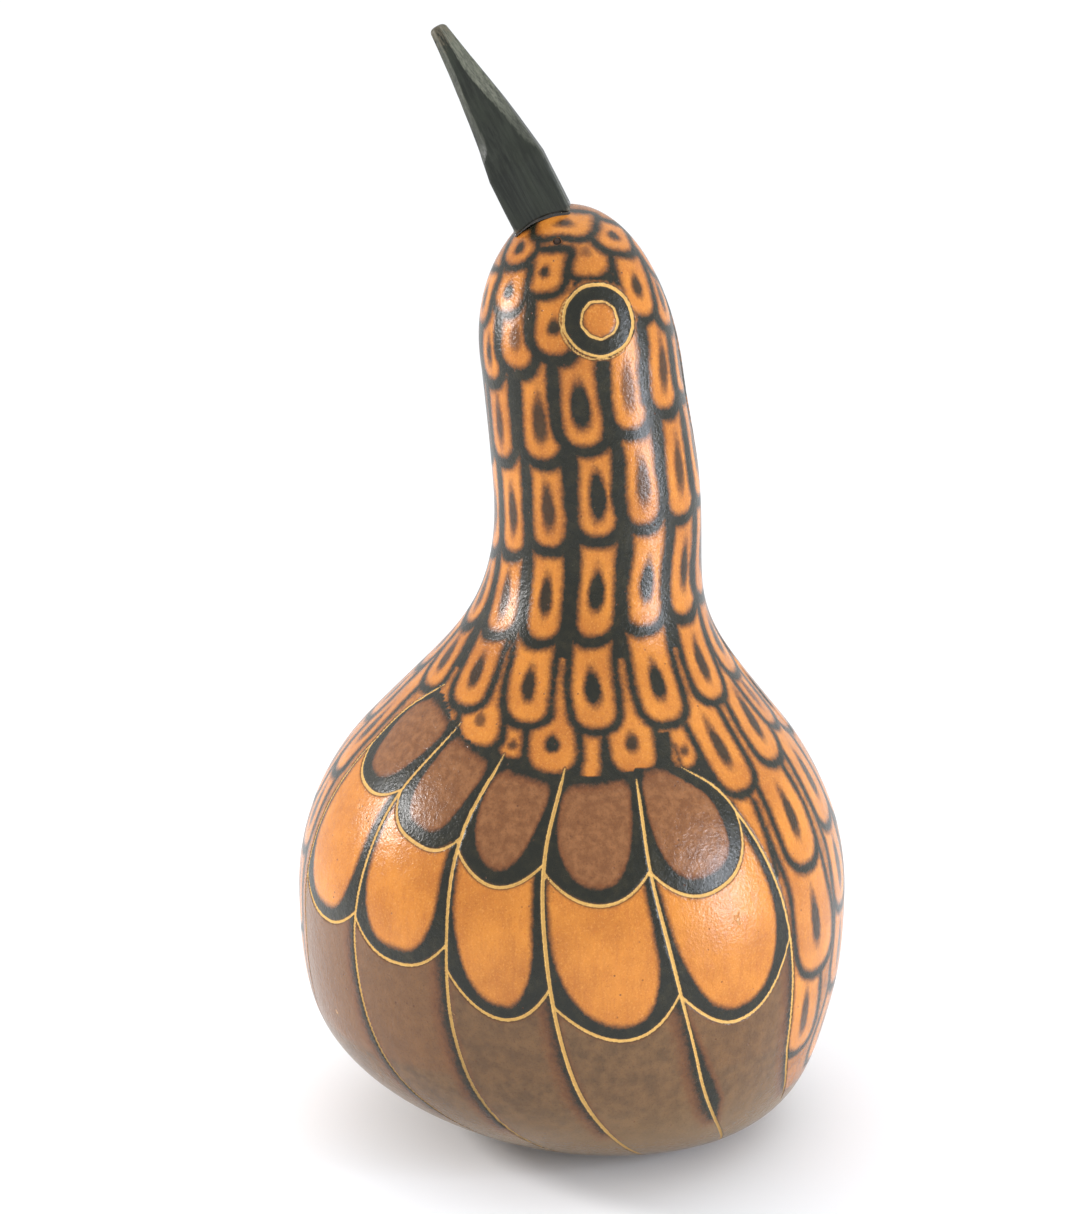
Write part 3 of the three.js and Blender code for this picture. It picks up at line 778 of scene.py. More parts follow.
def make_gourd():
    """The hollow gourd: fine outer skin with its lines and rasp cut in, plain inner wall, all holes bored."""
    along, turn, triangles = turned_grid(1.7)
    rasp_band = 13.0

    def feathered(a, t):
        """Off the wings and above the foot, where small feathers lie."""
        z = np.interp(a, ALONG, HEIGHT)
        side = np.abs(wrapped(t))
        off_wing = (z > spline(WING_TOP, side) - 2) | (side > spline(RIBS[5], z) - 1) | (side < 20)
        return off_wing & (z > 22)

    def near_lines(reach):
        def wanted(a, t):
            points = skin_points(a, t)
            outside, _, _ = line_field(wrapped(t), a, points)
            on_rasp = np.abs(wrapped(t) - RASP_AZIMUTH) < rasp_band * 1.15
            on_rasp &= (points[:, 2] > CUT_FIRST_Z - 4) & (points[:, 2] < cut_heights()[-1] + 4)
            return (outside < reach) | (on_rasp & (reach > 0.5)) | (hole_gap(points) < 2 * reach)
        return wanted

    along, turn, triangles = refine(along, turn, triangles, near_lines(1.5))
    along, turn, triangles = refine_large(along, turn, triangles, feathered, 1.2)
    along, turn, triangles = refine(along, turn, triangles, near_lines(0.45))
    points = skin_points(along, turn)
    normals = skin_normals(along, turn)
    azimuth = wrapped(turn)
    outside, width, pale = line_field(azimuth, along, points)
    pattern = paint(azimuth, along, points)
    across = np.clip((outside + width) / width, 0, 1)
    groove = np.where(outside < 0, 0.42 * np.sqrt(width / 0.5) * (1 - across**2), 0)
    burr = 0.05 * np.exp(-((outside / 0.35) ** 2)) * (outside > -0.1)
    rasp = rasp_depth(points, normals)
    uneven = 0.30 * ripple(np.radians(azimuth) * 2 + points[:, 2] / 60, points[:, 2] / 27, 5)
    uneven *= np.clip(along / 40, 0, 1) * np.clip((SKIN_LENGTH - along) / 20, 0, 1)
    depth = groove - burr + rasp + uneven
    outer = points - normals * depth[:, None]
    outer[:, 2] = np.maximum(outer[:, 2], 0)

    in_along, in_turn, in_triangles = turned_grid(5.0)
    inner = skin_points(in_along, in_turn, WALL)
    inner[0] = (0, lean(WALL), WALL)
    inner[-1] = (0, lean(TOP_Z - WALL), TOP_Z - WALL)
    count = len(outer)
    vertices = np.vstack([outer, inner])
    faces = np.vstack([triangles, in_triangles[:, ::-1] + count])
    gourd = add_mesh("gourd_carved", vertices, faces)
    mesh = gourd.data
    values = {
        "outer": np.ones(count), "burn": pattern.burn, "ink": pattern.ink, "soot": pattern.soot,
        "dye": pattern.dye, "line": outside, "pale": pale, "rasp": rasp,
    }
    for name, value in values.items():
        store(mesh, name, np.r_[value, np.zeros(len(inner))])

    hole, _, _, hole_out = skin_frame(HOLE_AZIMUTH, HOLE_Z)
    over_brad = BRAD_SKIN - BRAD_INWARDS
    bore_end = SEAT - BEAK_AXIS * DOWEL_IN_HEAD
    cutters = [
        bar("hole_cutter", HOLE_RADIUS, hole - hole_out * 3 * WALL, hole_out, 6 * WALL),
        bar("seat_cutter", SEAT_CUT_RADIUS, SEAT, BEAK_AXIS, SEAT_RADIUS),
        bar("bore_cutter", DOWEL_RADIUS + GAP, bore_end, BEAK_AXIS, 2 * DOWEL_IN_HEAD),
        bar("brad_cutter", BRAD_RADIUS + 0.1, over_brad, BRAD_INWARDS, 2 * WALL, 24),
        bar("pocket_cutter", BRAD_HEAD_RADIUS + 0.02, over_brad, BRAD_INWARDS, 1 + BRAD_SINK, 24),
    ]
    cut_away(gourd, cutters)
    return gourd


def face_slots(gourd):
    """Material 0 on the skin, 1 on the cut rims and 2 on the inner wall."""
    mesh = gourd.data
    outer = load_values(mesh, "outer")
    corner = np.zeros(len(mesh.loops), np.int32)
    mesh.loops.foreach_get("vertex_index", corner)
    start = np.zeros(len(mesh.polygons), np.int32)
    mesh.polygons.foreach_get("loop_start", start)
    share = np.minimum.reduceat(outer[corner], start)
    centre = np.zeros(3 * len(mesh.polygons), np.float32)
    mesh.polygons.foreach_get("center", centre)
    centre = centre.reshape(-1, 3) / MM
    from_axis = np.hypot(centre[:, 0], centre[:, 1] - lean(centre[:, 2]))
    skin_r = np.interp(centre[:, 2], HEIGHT, RADIUS)
    hole, _, _, out = skin_frame(HOLE_AZIMUTH, HOLE_Z)
    offset = centre - hole
    from_hole = np.linalg.norm(offset - (offset @ out)[:, None] * out, axis=1)
    rim = (np.abs(from_hole - HOLE_RADIUS) < 0.4) & (np.abs(offset @ out) < 2 * WALL)
    pocket = np.linalg.norm(centre - BRAD_SKIN, axis=1) < 1.5
    slot = np.where((share > 0.98) | pocket, 0, np.where(rim | (skin_r - from_axis < WALL * 0.7), 1, 2))
    mesh.materials.clear()
    mesh.polygons.foreach_set("material_index", slot.astype(np.int32))
    mesh.update()


# ================================================================ node helpers
class Nodes:
    """Short way to write a material's nodes."""

    def __init__(self, name):
        self.material = bpy.data.materials.new(name)
        self.material.use_nodes = True
        self.tree = self.material.node_tree
        self.tree.nodes.clear()
        self.shader = self.tree.nodes.new("ShaderNodeBsdfPrincipled")
        out = self.tree.nodes.new("ShaderNodeOutputMaterial")
        self.tree.links.new(self.shader.outputs[0], out.inputs[0])
        self.coords = self.tree.nodes.new("ShaderNodeTexCoord").outputs["Object"]

    def feed(self, socket, value):
        if isinstance(value, bpy.types.NodeSocket):
            self.tree.links.new(value, socket)
        elif hasattr(socket.default_value, "__len__") and not hasattr(value, "__len__"):
            socket.default_value = (value,) * len(socket.default_value)
        elif hasattr(value, "__len__") and len(value) == 3 and len(socket.default_value) == 4:
            socket.default_value = (*value, 1)
        else:
            socket.default_value = value

    def math(self, operation, *values, clamp=False):
        node = self.tree.nodes.new("ShaderNodeMath")
        node.operation = operation
        node.use_clamp = clamp
        for socket, value in zip(node.inputs, values):
            self.feed(socket, value)
        return node.outputs[0]

    def plus(self, a, b, clamp=False):
        return self.math("ADD", a, b, clamp=clamp)

    def minus(self, a, b):
        return self.math("SUBTRACT", a, b)

    def times(self, a, b):
        return self.math("MULTIPLY", a, b)

    def rest(self, share):
        """What a share leaves of the whole."""
        return self.math("SUBTRACT", 1, share)

    def mix(self, amount, a, b, blend="MIX"):
        node = self.tree.nodes.new("ShaderNodeMix")
        node.data_type = "RGBA"
        node.blend_type = blend
        self.feed(node.inputs[0], amount)
        self.feed(node.inputs[6], a)
        self.feed(node.inputs[7], b)
        return node.outputs[2]

    def step(self, value, low, high):
        """0 below low, 1 above high, smooth between."""
        node = self.tree.nodes.new("ShaderNodeMapRange")
        node.interpolation_type = "SMOOTHSTEP"
        for socket, item in zip(node.inputs, (value, low, high, 0.0, 1.0)):
            self.feed(socket, item)
        return node.outputs[0]

    def value(self, name):
        node = self.tree.nodes.new("ShaderNodeAttribute")
        node.attribute_name = name
        return node.outputs["Fac"]

    def stretch(self, scale, turn=(0, 0, 0)):
        node = self.tree.nodes.new("ShaderNodeMapping")
        node.vector_type = "TEXTURE"
        self.feed(node.inputs["Vector"], self.coords)
        node.inputs["Scale"].default_value = [1 / share for share in scale]
        node.inputs["Rotation"].default_value = turn
        return node.outputs[0]

    def noise(self, size, detail=3.0, rough=0.55, coords=None):
        """Noise whose features are about size millimetres."""
        node = self.tree.nodes.new("ShaderNodeTexNoise")
        self.feed(node.inputs["Vector"], coords or self.coords)
        node.inputs["Scale"].default_value = 1 / (size * MM)
        node.inputs["Detail"].default_value = detail
        node.inputs["Roughness"].default_value = rough
        return node.outputs[0]

    def spots(self, size, coords=None):
        """Distance to scattered points about size millimetres apart."""
        node = self.tree.nodes.new("ShaderNodeTexVoronoi")
        self.feed(node.inputs["Vector"], coords or self.coords)
        node.inputs["Scale"].default_value = 1 / (size * MM)
        return node.outputs["Distance"]

    def bump(self, height, distance):
        node = self.tree.nodes.new("ShaderNodeBump")
        node.inputs["Distance"].default_value = distance * MM
        node.inputs["Strength"].default_value = 1.0
        self.feed(node.inputs["Height"], height)
        self.tree.links.new(node.outputs[0], self.shader.inputs["Normal"])

    def set(self, **values):
        for name, value in values.items():
            self.feed(self.shader.inputs[name.replace("_", " ")], value)
        return self.material


# ================================================================ materials
ORANGE = (0.65, 0.240, 0.032)
ORANGE_DEEP = (0.46, 0.152, 0.020)
ORANGE_PALE = (0.80, 0.38, 0.085)
RED_BROWN = (0.185, 0.070, 0.022)
RED_BROWN_PALE = (0.28, 0.118, 0.042)
LONG_BROWN = (0.105, 0.056, 0.023)
LONG_BROWN_PALE = (0.175, 0.092, 0.036)
LONG_RED = (0.20, 0.082, 0.026)
FOOT_OLIVE = (0.21, 0.130, 0.058)
SCORCH = (0.16, 0.048, 0.011)
CHAR_BROWN = (0.050, 0.021, 0.008)
CHAR = (0.0085, 0.0095, 0.0045)
CHAR_OLIVE = (0.026, 0.023, 0.010)
PALE_CUT = (0.72, 0.43, 0.12)
OLIVE_CUT = (0.18, 0.12, 0.05)


def skin_material():
    """Varnished gourd skin: orange rind, dyed feathers, scorched ground and pale incised lines."""
    n = Nodes("gourd_skin")
    fuzz = n.minus(n.noise(1.1, 4, 0.62), 0.5)
    drift = n.minus(n.noise(4.5, 2, 0.5), 0.5)
    wobble = n.plus(n.times(fuzz, 1.3), n.times(drift, 0.6))
    burn = n.plus(n.value("burn"), wobble)
    ink = n.plus(n.value("ink"), n.times(wobble, 0.9))

    broad = n.noise(16, 3, 0.6)
    fine = n.noise(0.55, 3, 0.65)
    fibre = n.noise(1.4, 3, 0.6, n.stretch((1, 1, 0.16)))
    rind = n.mix(n.step(broad, 0.3, 0.72), ORANGE, ORANGE_DEEP)
    rind = n.mix(n.times(n.step(fibre, 0.42, 0.75), 0.35), rind, (0.42, 0.125, 0.022))
    rind = n.mix(n.times(n.step(fine, 0.5, 0.72), 0.35), rind, ORANGE_PALE)
    dyed = n.value("dye")
    reddish = n.mix(n.step(n.noise(2.2, 4, 0.65), 0.35, 0.7), RED_BROWN, RED_BROWN_PALE)
    longer = n.mix(n.step(n.noise(3.5, 4, 0.65), 0.3, 0.72), LONG_BROWN, LONG_BROWN_PALE)
    longer = n.mix(n.times(n.step(dyed, 2.0, 1.85), 0.7), longer, LONG_RED)
    longer = n.mix(n.times(n.step(dyed, 2.1, 3.0), 0.75), longer, FOOT_OLIVE)
    color = n.mix(n.step(dyed, 0.2, 0.8), rind, reddish)
    color = n.mix(n.step(dyed, 1.2, 1.8), color, longer)

    # scorching closes in from the burnt ground and out from the burnt centres
    ground = n.step(burn, -0.80, 0.74)
    halo = n.step(burn, -0.1, 1.5)
    centre = n.step(ink, -0.6, 0.6)
    centre_halo = n.step(ink, -0.1, 1.1)
    color = n.mix(n.times(n.rest(halo), 0.62), color, SCORCH)
    color = n.mix(n.times(n.rest(centre_halo), 0.6), color, SCORCH)
    black = n.mix(n.step(n.noise(3.0, 4, 0.6), 0.4, 0.8), CHAR, CHAR_OLIVE)
    singed = n.mix(n.step(burn, -0.75, 0.1), black, CHAR_BROWN)
    color = n.mix(ground, singed, color)
    soot = n.value("soot")
    ink_tone = n.mix(n.times(soot, n.step(ink, 0.2, -0.6)), (0.085, 0.030, 0.009), black)
    inked = n.times(n.rest(centre), n.plus(0.3, n.times(soot, 0.7)))
    color = n.mix(inked, color, ink_tone)

    # pores, specks and small knocks
    pores = n.spots(2.6)
    pore = n.times(n.rest(n.step(pores, 0.05, 0.13)), n.step(n.noise(9, 2), 0.5, 0.62))
    color = n.mix(n.times(pore, 0.75), color, (0.10, 0.032, 0.010))
    knocks = n.spots(21, n.stretch((1, 1, 0.7)))
    ragged = n.times(n.minus(n.noise(0.8, 3, 0.7), 0.5), 0.22)
    knock = n.rest(n.step(n.plus(knocks, ragged), 0.012, 0.042))
    color = n.mix(n.times(knock, 0.7), color, (0.60, 0.33, 0.13))
    grit = n.minus(n.noise(0.45, 3, 0.7), 0.5)
    color = n.mix(n.times(n.step(grit, 0.02, 0.3), 0.5), color, (0.62, 0.36, 0.17), "SOFT_LIGHT")
    color = n.mix(n.times(n.step(grit, 0.0, -0.28), 0.5), color, (0.06, 0.03, 0.012), "SOFT_LIGHT")

    # incised lines show the pale flesh under the skin, browner where they were rubbed
    edge = n.plus(n.value("line"), n.times(n.minus(n.noise(0.7, 3, 0.6), 0.5), 0.28))
    in_line = n.rest(n.step(edge, -0.10, 0.06))
    flesh = n.mix(n.value("pale"), OLIVE_CUT, PALE_CUT)
    flesh = n.mix(n.times(n.step(n.noise(1.0, 3, 0.6), 0.45, 0.7), 0.45), flesh, (0.52, 0.27, 0.085))
    # a thin dark band just outside each incised line is painted shade at the groove's lip
    shade = n.rest(n.step(n.math("ABSOLUTE", n.plus(edge, -0.12)), 0.04, 0.26))
    color = n.mix(n.times(shade, 0.5), color, (0.05, 0.03, 0.012))
    color = n.mix(in_line, color, flesh)

    # file cuts of the rasp
    filed = n.step(n.value("rasp"), 0.03, 0.14)
    grain = n.noise(0.5, 4, 0.6, n.stretch((1, 0.12, 1)))
    filed_tone = n.mix(n.step(grain, 0.3, 0.75), (0.62, 0.40, 0.17), (0.40, 0.22, 0.08))
    filed_tone = n.mix(n.step(n.value("rasp"), 1.0, 2.1), filed_tone, (0.26, 0.13, 0.045))
    color = n.mix(filed, color, filed_tone)

    bare = n.math("MAXIMUM", in_line, filed)
    rough = n.plus(0.14, n.times(n.noise(1.8, 4, 0.6), 0.16))
    rough = n.plus(rough, n.times(n.rest(ground), 0.06))
    rough = n.plus(rough, n.times(bare, 0.35), clamp=True)
    peel = n.times(n.noise(0.75, 3, 0.6), 1.1)
    peel = n.plus(peel, n.times(n.noise(3.2, 2, 0.5), 1.2))
    peel = n.minus(peel, n.times(pore, 0.8))
    peel = n.minus(peel, n.times(knock, 1.2))
    peel = n.plus(peel, n.times(ground, 0.25))
    peel = n.plus(peel, n.times(n.times(bare, grain), 0.9))
    n.bump(peel, 0.11)
    return n.set(Base_Color=color, Roughness=rough, Specular_IOR_Level=0.4)


def rim_material():
    """Sawn edge of the rind."""
    n = Nodes("gourd_rim")
    fibre = n.noise(1.0, 5, 0.65)
    pores = n.spots(1.1)
    color = n.mix(n.step(fibre, 0.3, 0.7), (0.52, 0.33, 0.15), (0.36, 0.20, 0.08))
    color = n.mix(n.rest(n.step(pores, 0.08, 0.25)), color, (0.20, 0.10, 0.04))
    n.bump(n.plus(fibre, pores), 0.25)
    return n.set(Base_Color=color, Roughness=0.75)


def inside_material():
    """Dry, felted inner wall."""
    n = Nodes("gourd_inside")
    blotch = n.noise(9, 5, 0.65)
    felt = n.noise(0.9, 5, 0.7)
    color = n.mix(n.step(blotch, 0.3, 0.7), (0.34, 0.22, 0.11), (0.19, 0.115, 0.055))
    color = n.mix(n.times(felt, 0.4), color, (0.42, 0.31, 0.18))
    n.bump(n.plus(felt, n.times(blotch, 2)), 0.6)
    return n.set(Base_Color=color, Roughness=0.9)


def beak_material():
    """Black-stained wood, rubbed brown and grey on its edges, grain along the beak; the up-right paring cut
    is painted paler as painted light.
    """
    n = Nodes("beak_stained_wood")
    lie = (math.pi / 2 - BEAK_ANGLE, 0, 0)
    grain = n.noise(0.9, 5, 0.65, n.stretch((1, 1, 0.06), lie))
    broad = n.noise(7, 3, 0.6, n.stretch((1, 1, 0.3), lie))
    flecks = n.noise(0.45, 3, 0.7, n.stretch((1, 1, 0.3), lie))
    color = n.mix(n.step(grain, 0.35, 0.7), (0.007, 0.009, 0.006), (0.024, 0.028, 0.020))
    color = n.mix(n.times(n.step(broad, 0.4, 0.7), 0.6), color, (0.026, 0.032, 0.020))
    # pared wood shows grey through the stain, and the up-right paring cut is painted paler still as painted
    # light
    shaved_and_lit = n.times(n.value("pared_and_lit"), n.step(n.plus(grain, flecks), 0.6, 1.25))
    color = n.mix(n.times(shaved_and_lit, 0.85), color, (0.165, 0.170, 0.125))
    worn = n.step(n.plus(n.value("wear"), n.times(n.minus(flecks, 0.5), 1.4)), 0.55, 0.95)
    color = n.mix(n.times(worn, 0.7), color, (0.120, 0.100, 0.066))
    rough = n.plus(0.30, n.times(grain, 0.22))
    chatter = n.noise(2.6, 3, 0.6, n.stretch((1, 1, 0.5), lie))
    relief = n.plus(n.times(grain, 1.2), n.times(flecks, 0.4))
    n.bump(n.plus(relief, n.times(chatter, 2.4)), 0.13)
    return n.set(Base_Color=color, Roughness=rough, Specular_IOR_Level=0.36)


def glue_material():
    n = Nodes("old_glue")
    blotch = n.noise(1.6, 4, 0.6)
    painted_glint = n.noise(0.6, 3, 0.6)
    color = n.mix(n.step(blotch, 0.4, 0.75), (0.012, 0.010, 0.007), (0.05, 0.032, 0.016))
    # pale flecks in the glue's colour are painted glints: painted highlights standing in for its shine
    color = n.mix(n.step(painted_glint, 0.66, 0.72), color, (0.30, 0.23, 0.13))
    n.bump(blotch, 0.3)
    return n.set(Base_Color=color, Roughness=0.16, Coat_Weight=0.4, Coat_Roughness=0.1)


def dowel_material():
    n = Nodes("dowel_wood")
    lie = (math.pi / 2 - BEAK_ANGLE, 0, 0)
    grain = n.noise(0.8, 5, 0.6, n.stretch((1, 1, 0.08), lie))
    color = n.mix(n.step(grain, 0.3, 0.7), (0.60, 0.41, 0.22), (0.40, 0.24, 0.11))
    n.bump(grain, 0.12)
    return n.set(Base_Color=color, Roughness=0.65)


def brad_material():
    n = Nodes("brad_steel")
    rust = n.noise(0.5, 4, 0.65)
    color = n.mix(n.step(rust, 0.45, 0.7), (0.035, 0.024, 0.018), (0.09, 0.040, 0.018))
    n.bump(rust, 0.05)
    return n.set(Base_Color=color, Roughness=n.plus(0.45, n.times(rust, 0.4)), Metallic=0.3)


# ================================================================ beak, glue and brad
FACETS = 8
SKEW = 1.1          # the stick was glued on this far off its dowel, mm
SCRIBE_GAP = 0.7    # left for the glue under the foot's edge
DEEPEST_SCRIBE = 3.2
TIP_ROUND = 1.1
# Where the four paring cuts lie, as shares of the stick's half width, along its length: up-left of the bird,
# up-right, down-right and down-left.
PARED = (
    ((0, 1.40), (0.27, 1.38), (0.36, 1.21), (0.5, 1.12), (0.625, 0.96), (0.75, 0.80), (0.92, 0.84),
     (1, 0.88)),
    ((0, 1.40), (0.30, 1.38), (0.40, 1.18), (0.6, 1.10), (0.8, 1.0), (1, 1.0)),
    ((0, 1.40), (0.36, 1.38), (0.44, 1.17), (0.6, 1.12), (0.8, 1.04), (1, 1.0)),
    ((0, 1.40), (0.33, 1.39), (0.38, 1.20), (0.49, 1.16), (0.63, 1.18), (0.77, 1.10), (1, 1.02)),
)


def beak_section(up, turn):
    """Distance from the beak's axis to its surface, nearness to an edge and share of pared wood, in which the
    up-right paring cut is painted paler as painted light.
    """
    t = up / BEAK_LENGTH
    taper = max(0.0, (up - BEAK_PARALLEL) / (BEAK_LENGTH - BEAK_PARALLEL))
    half = BEAK_HALF + (BEAK_TIP_HALF - BEAK_HALF) * taper
    reach = []
    for k in range(FACETS):
        cut = PARED[k // 2] if k % 2 else ((0, 1.0), (1, 1.0))
        reach.append(half * float(spline(cut, t)))
    sharp = 26 + 14 * min(1.0, t / 0.35)
    total = np.zeros(len(turn))
    strongest = np.zeros(len(turn))
    pared_and_lit = np.zeros(len(turn))
    for k, distance in enumerate(reach):
        toward = np.maximum(np.cos(turn - k * math.pi / 4), 1e-6) / distance
        total += toward**sharp
        # painted light: the up-right paring cut (k == 1) gets the full share and the others 0.45, so that cut
        # shows paler as if the light fell on it
        pared_and_lit = np.where(toward > strongest, (1.0 if k == 1 else 0.45) * (k % 2), pared_and_lit)
        strongest = np.maximum(strongest, toward)
    pared_and_lit *= min(1.0, max(0.35, (t - 0.25) / 0.4))
    radius = total ** (-1 / sharp)
    nearness = np.clip((1 / strongest - radius) / (0.035 * half), 0, 1)
    return radius, nearness, pared_and_lit


def capped_rings(rows, sides):
    """Faces of a closed stick of rings, from its first ring to its last."""
    faces = []
    for k in range(rows - 1):
        for j in range(sides):
            n = (j + 1) % sides
            faces.append((k * sides + j, k * sides + n, (k + 1) * sides + n, (k + 1) * sides + j))
    faces.append(list(range(sides))[::-1])
    faces.append([(rows - 1) * sides + j for j in range(sides)])
    return faces


def crown_drop(spots):
    """How far below the beak's foot plane the crown is under each point of that plane."""
    low = np.zeros(len(spots))
    high = np.full(len(spots), 12.0)
    for _ in range(30):
        middle = (low + high) / 2
        p = spots - middle[:, None] * BEAK_AXIS
        z = p[:, 2]
        radius = HEAD_RADIUS * np.sqrt(np.maximum(1 - ((z - HEAD_Z) / CROWN_HEIGHT) ** 2, 0))
        radius = np.where(z > TOP_Z, 0, radius)
        inside = np.hypot(p[:, 0], p[:, 1] - lean(z)) < radius
        high = np.where(inside, middle, high)
        low = np.where(inside, low, middle)
    return high


def foot_plane(radius, turn, shift=0.0):
    """Points of the plane of the beak's foot, shifted up the bird."""
    across, up = radius * np.cos(turn), radius * np.sin(turn) + shift
    return BEAK_FOOT + np.outer(across, [1, 0, 0]) + np.outer(up, BEAK_UP)


def foot_fall(foot, turn):
    """How far the beak's foot edge is scribed down towards the crown, all round."""
    return np.clip(crown_drop(foot_plane(foot, turn, SKEW)) - SCRIBE_GAP, 0, DEEPEST_SCRIBE)


def make_beak():
    """Whittled stick: scribed foot, four flats, four long paring cuts to a blunt tip, bored for the dowel."""
    sides = 144
    turn = np.linspace(0, 2 * math.pi, sides, endpoint=False)
    fall = foot_fall(beak_section(0, turn)[0], turn)
    rings, wear, pared_and_lit = [], [], []

    def ring(up, scale=1.0, fixed=None):
        radius, near, cut = beak_section(min(max(up, 0), BEAK_LENGTH), turn)
        marks = 0.07 * ripple(turn * 3, up / 6, 3) + 0.05 * ripple(turn * 7, up / 3, 8)
        radius = (radius + marks) * scale if fixed is None else np.full(sides, fixed)
        bend = BEAK_BEND * math.sin(math.pi * min(max(up, 0), BEAK_LENGTH) / BEAK_LENGTH)
        bend = bend + SKEW - 0.4 * up / BEAK_LENGTH if fixed is None else 0
        lowered = fall * max(0.0, 1 - up / 8) if fixed is None and scale > 0.9 else 0 * turn
        rings.append(np.c_[radius * np.cos(turn), radius * np.sin(turn) + bend, up - lowered])
        tip = max(0.0, up / BEAK_LENGTH - 0.74) * 3.6
        foot = max(0.0, 1 - up / 1.5) * 0.6
        wear.append(near * 0.55 + tip + foot)
        pared_and_lit.append(cut)

    ring(DOWEL_IN_BEAK, fixed=0.02)
    ring(DOWEL_IN_BEAK, fixed=DOWEL_RADIUS + 0.1)
    ring(0.4, fixed=DOWEL_RADIUS + 0.1)
    ring(0.05, fixed=DOWEL_RADIUS + 0.3)
    for scale, up in ((0.75, 0.03), (0.93, 0.0), (0.975, 0.05), (0.993, 0.18)):
        ring(up, scale)
    for up in np.linspace(0.45, BEAK_LENGTH - TIP_ROUND, 110):
        ring(up)
    for k in range(1, 9):
        a = k / 8 * math.pi / 2
        ring(BEAK_LENGTH - TIP_ROUND + TIP_ROUND * math.sin(a), 0.12 + 0.88 * math.cos(a) ** 0.8)
    points = np.vstack(rings)
    world = points[:, :1] * [1, 0, 0] + points[:, 1:2] * BEAK_UP + points[:, 2:] * BEAK_AXIS + BEAK_FOOT
    beak = add_mesh("beak_whittled", world, capped_rings(len(rings), sides))
    store(beak.data, "wear", np.concatenate(wear))
    # the stored share of pared wood also carries painted light, which makes the up-right paring cut paler
    store(beak.data, "pared_and_lit", np.concatenate(pared_and_lit))
    return beak


def make_glue():
    """Irregular bead squeezed out round the beak's foot, down onto the crown."""
    sides = 180
    turn = np.linspace(0, 2 * math.pi, sides, endpoint=False)
    foot, _, _ = beak_section(0, turn)
    foot = foot + SKEW * np.sin(turn)
    bulge = 0.12 + 0.30 * ripple(turn * 4, 0, 2) + 0.16 * ripple(turn * 11, 1, 4)
    bulge = np.clip(bulge, -0.1, 0.8)
    profile = []

    def at(radius, drop):
        profile.append(foot_plane(radius, turn) - drop[:, None] * BEAK_AXIS)

    def under(radius):
        return np.maximum(crown_drop(foot_plane(radius, turn)), 0.1)

    inner = np.full(sides, DOWEL_RADIUS + 0.5)
    start = np.maximum(under(foot) - SCRIBE_GAP - 0.15, 0.04)
    at(inner, np.full(sides, 0.06))
    at(foot * 0.8, np.full(sides, 0.05))
    at(foot * 0.97, start)
    for share in np.linspace(0.1, 0.9, 7):
        radius = foot * 0.985 + bulge * math.sin(math.pi * share) ** 0.7 + 0.1 * share
        at(radius, start + share * (under(radius) + 0.05 - start))
    rim = foot * 0.985 + 0.35 * bulge
    at(rim, under(rim) + 0.1)
    at(foot * 0.95, np.maximum(under(foot * 0.95), SEAT_DEPTH) + 0.12)
    at(inner, np.full(sides, SEAT_DEPTH))
    rows = len(profile)
    points = np.vstack(profile)
    faces = []
    for k in range(rows):
        m = (k + 1) % rows
        for j in range(sides):
            n = (j + 1) % sides
            faces.append((k * sides + n, k * sides + j, m * sides + j, m * sides + n))
    return add_mesh("glue_squeezed", points, faces)


def make_brad():
    """Wire nail with a domed, hammered head."""
    head = BRAD_SINK - 0.5
    end = head + BRAD_LENGTH
    profile = [
        (0.001, head - 0.12), (0.5, head - 0.09), (0.8, head - 0.01), (0.93, head + 0.12),
        (BRAD_HEAD_RADIUS, head + 0.3), (0.9, head + 0.45), (BRAD_RADIUS, head + 0.55),
        (BRAD_RADIUS, end - 2.0), (0.3, end - 1.0), (0.02, end),
    ]
    sides = 40
    turn = np.linspace(0, 2 * math.pi, sides, endpoint=False)
    rings = [np.c_[r * np.cos(turn), r * np.sin(turn), np.full(sides, z)] for r, z in profile]
    points = np.vstack(rings)
    points[: 4 * sides, 2] += 0.04 * ripple(points[: 4 * sides, 0] * 4, points[: 4 * sides, 1] * 4, 1)
    spin = np.array(Vector((0, 0, 1)).rotation_difference(Vector(BRAD_INWARDS)).to_matrix())
    return add_mesh("brad_nail", points @ spin.T + BRAD_SKIN, capped_rings(len(profile), sides))


# ================================================================ assembling the pieces
gourd = make_gourd()
face_slots(gourd)
for material in (skin_material(), rim_material(), inside_material()):
    gourd.data.materials.append(material)
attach(gourd, "root")
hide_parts("gourd_shell")

beak = make_beak()
beak.data.materials.append(beak_material())
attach(beak, "root")
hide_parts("beak")

glue = make_glue()
glue.data.materials.append(glue_material())
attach(glue, "root")
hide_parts("glue_bead")

brad = make_brad()
brad.data.materials.append(brad_material())
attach(brad, "root")
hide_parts("beak_brad")

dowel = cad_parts["beak_dowel"]
if not dowel.material_slots:
    dowel.data.materials.append(None)
for slot in dowel.material_slots:
    slot.material = dowel_material()


# ================================================================ floor, light and camera
CAMERA_DISTANCE = 0.650
CAMERA_RISE = math.radians(14.0)
AIM = Vector((0, -0.0068, 0.135))
LENS = 76.7
SENSOR = 36.0
FLOOR_REACH = 80.0
WINDOW_TARGET = Vector((0, 0, 0.12))


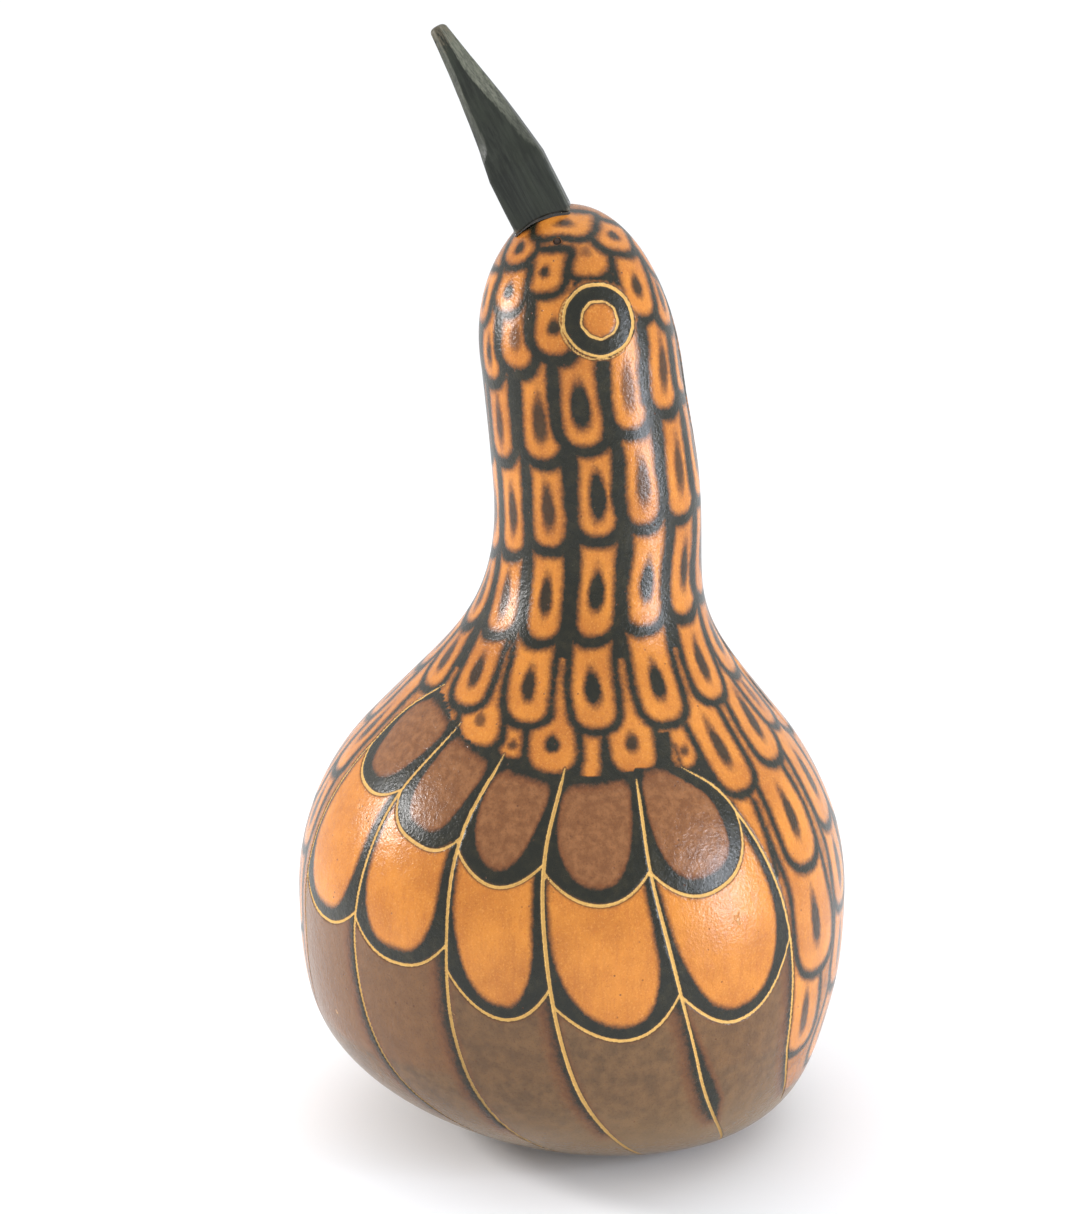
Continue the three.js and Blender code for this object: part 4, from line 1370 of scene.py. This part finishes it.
def make_floor():
    mesh = bpy.data.meshes.new("floor")
    s = FLOOR_REACH
    mesh.from_pydata([(-s, -s, 0), (s, -s, 0), (s, s, 0), (-s, s, 0)], [], [(0, 1, 2, 3)])
    floor = bpy.data.objects.new("floor", mesh)
    bpy.context.scene.collection.objects.link(floor)
    n = Nodes("paper_floor")
    mesh.materials.append(n.set(Base_Color=(0.955, 0.97, 0.985), Roughness=0.9))


def area_light(name, place, size, height, power, color):
    data = bpy.data.lights.new(name, "AREA")
    data.shape = "RECTANGLE"
    data.size = size
    data.size_y = height
    data.energy = power
    data.color = color
    light = bpy.data.objects.new(name, data)
    light.location = place
    light.rotation_euler = (WINDOW_TARGET - Vector(place)).to_track_quat("-Z", "Y").to_euler()
    bpy.context.scene.collection.objects.link(light)


def light_scene():
    world = bpy.data.worlds.new("studio")
    world.use_nodes = True
    back = world.node_tree.nodes["Background"]
    back.inputs["Color"].default_value = (0.985, 0.99, 1.0, 1)
    back.inputs["Strength"].default_value = 0.93
    bpy.context.scene.world = world
    area_light("window_left", (0.0, -0.50, 0.29), 0.05, 0.12, 1.7, (0.96, 0.94, 0.94))
    area_light("window_right", (0.42, 0.92, 0.20), 0.13, 0.60, 8.4, (0.84, 0.89, 1.0))
    sky = bpy.data.lights.new("skylight", "SUN")
    sky.energy = 0.60
    sky.angle = math.radians(70)
    skylight = bpy.data.objects.new("skylight", sky)
    skylight.rotation_euler = Vector((0.35, -0.25, -1)).to_track_quat("-Z", "Y").to_euler()
    bpy.context.scene.collection.objects.link(skylight)


def place_camera():
    data = bpy.data.cameras.new("camera")
    data.lens = LENS
    data.sensor_fit = "VERTICAL"
    data.sensor_height = SENSOR
    camera = bpy.data.objects.new("camera", data)
    out = Vector((math.cos(CAMERA_RISE), 0, math.sin(CAMERA_RISE)))
    camera.location = Vector((0, 0, AIM.z)) + out * CAMERA_DISTANCE
    camera.rotation_euler = (AIM - camera.location).to_track_quat("-Z", "Y").to_euler()
    bpy.context.scene.collection.objects.link(camera)
    bpy.context.scene.camera = camera


make_floor()
light_scene()
place_camera()
bpy.context.scene.view_settings.view_transform = "Standard"

bpy.context.view_layer.update()
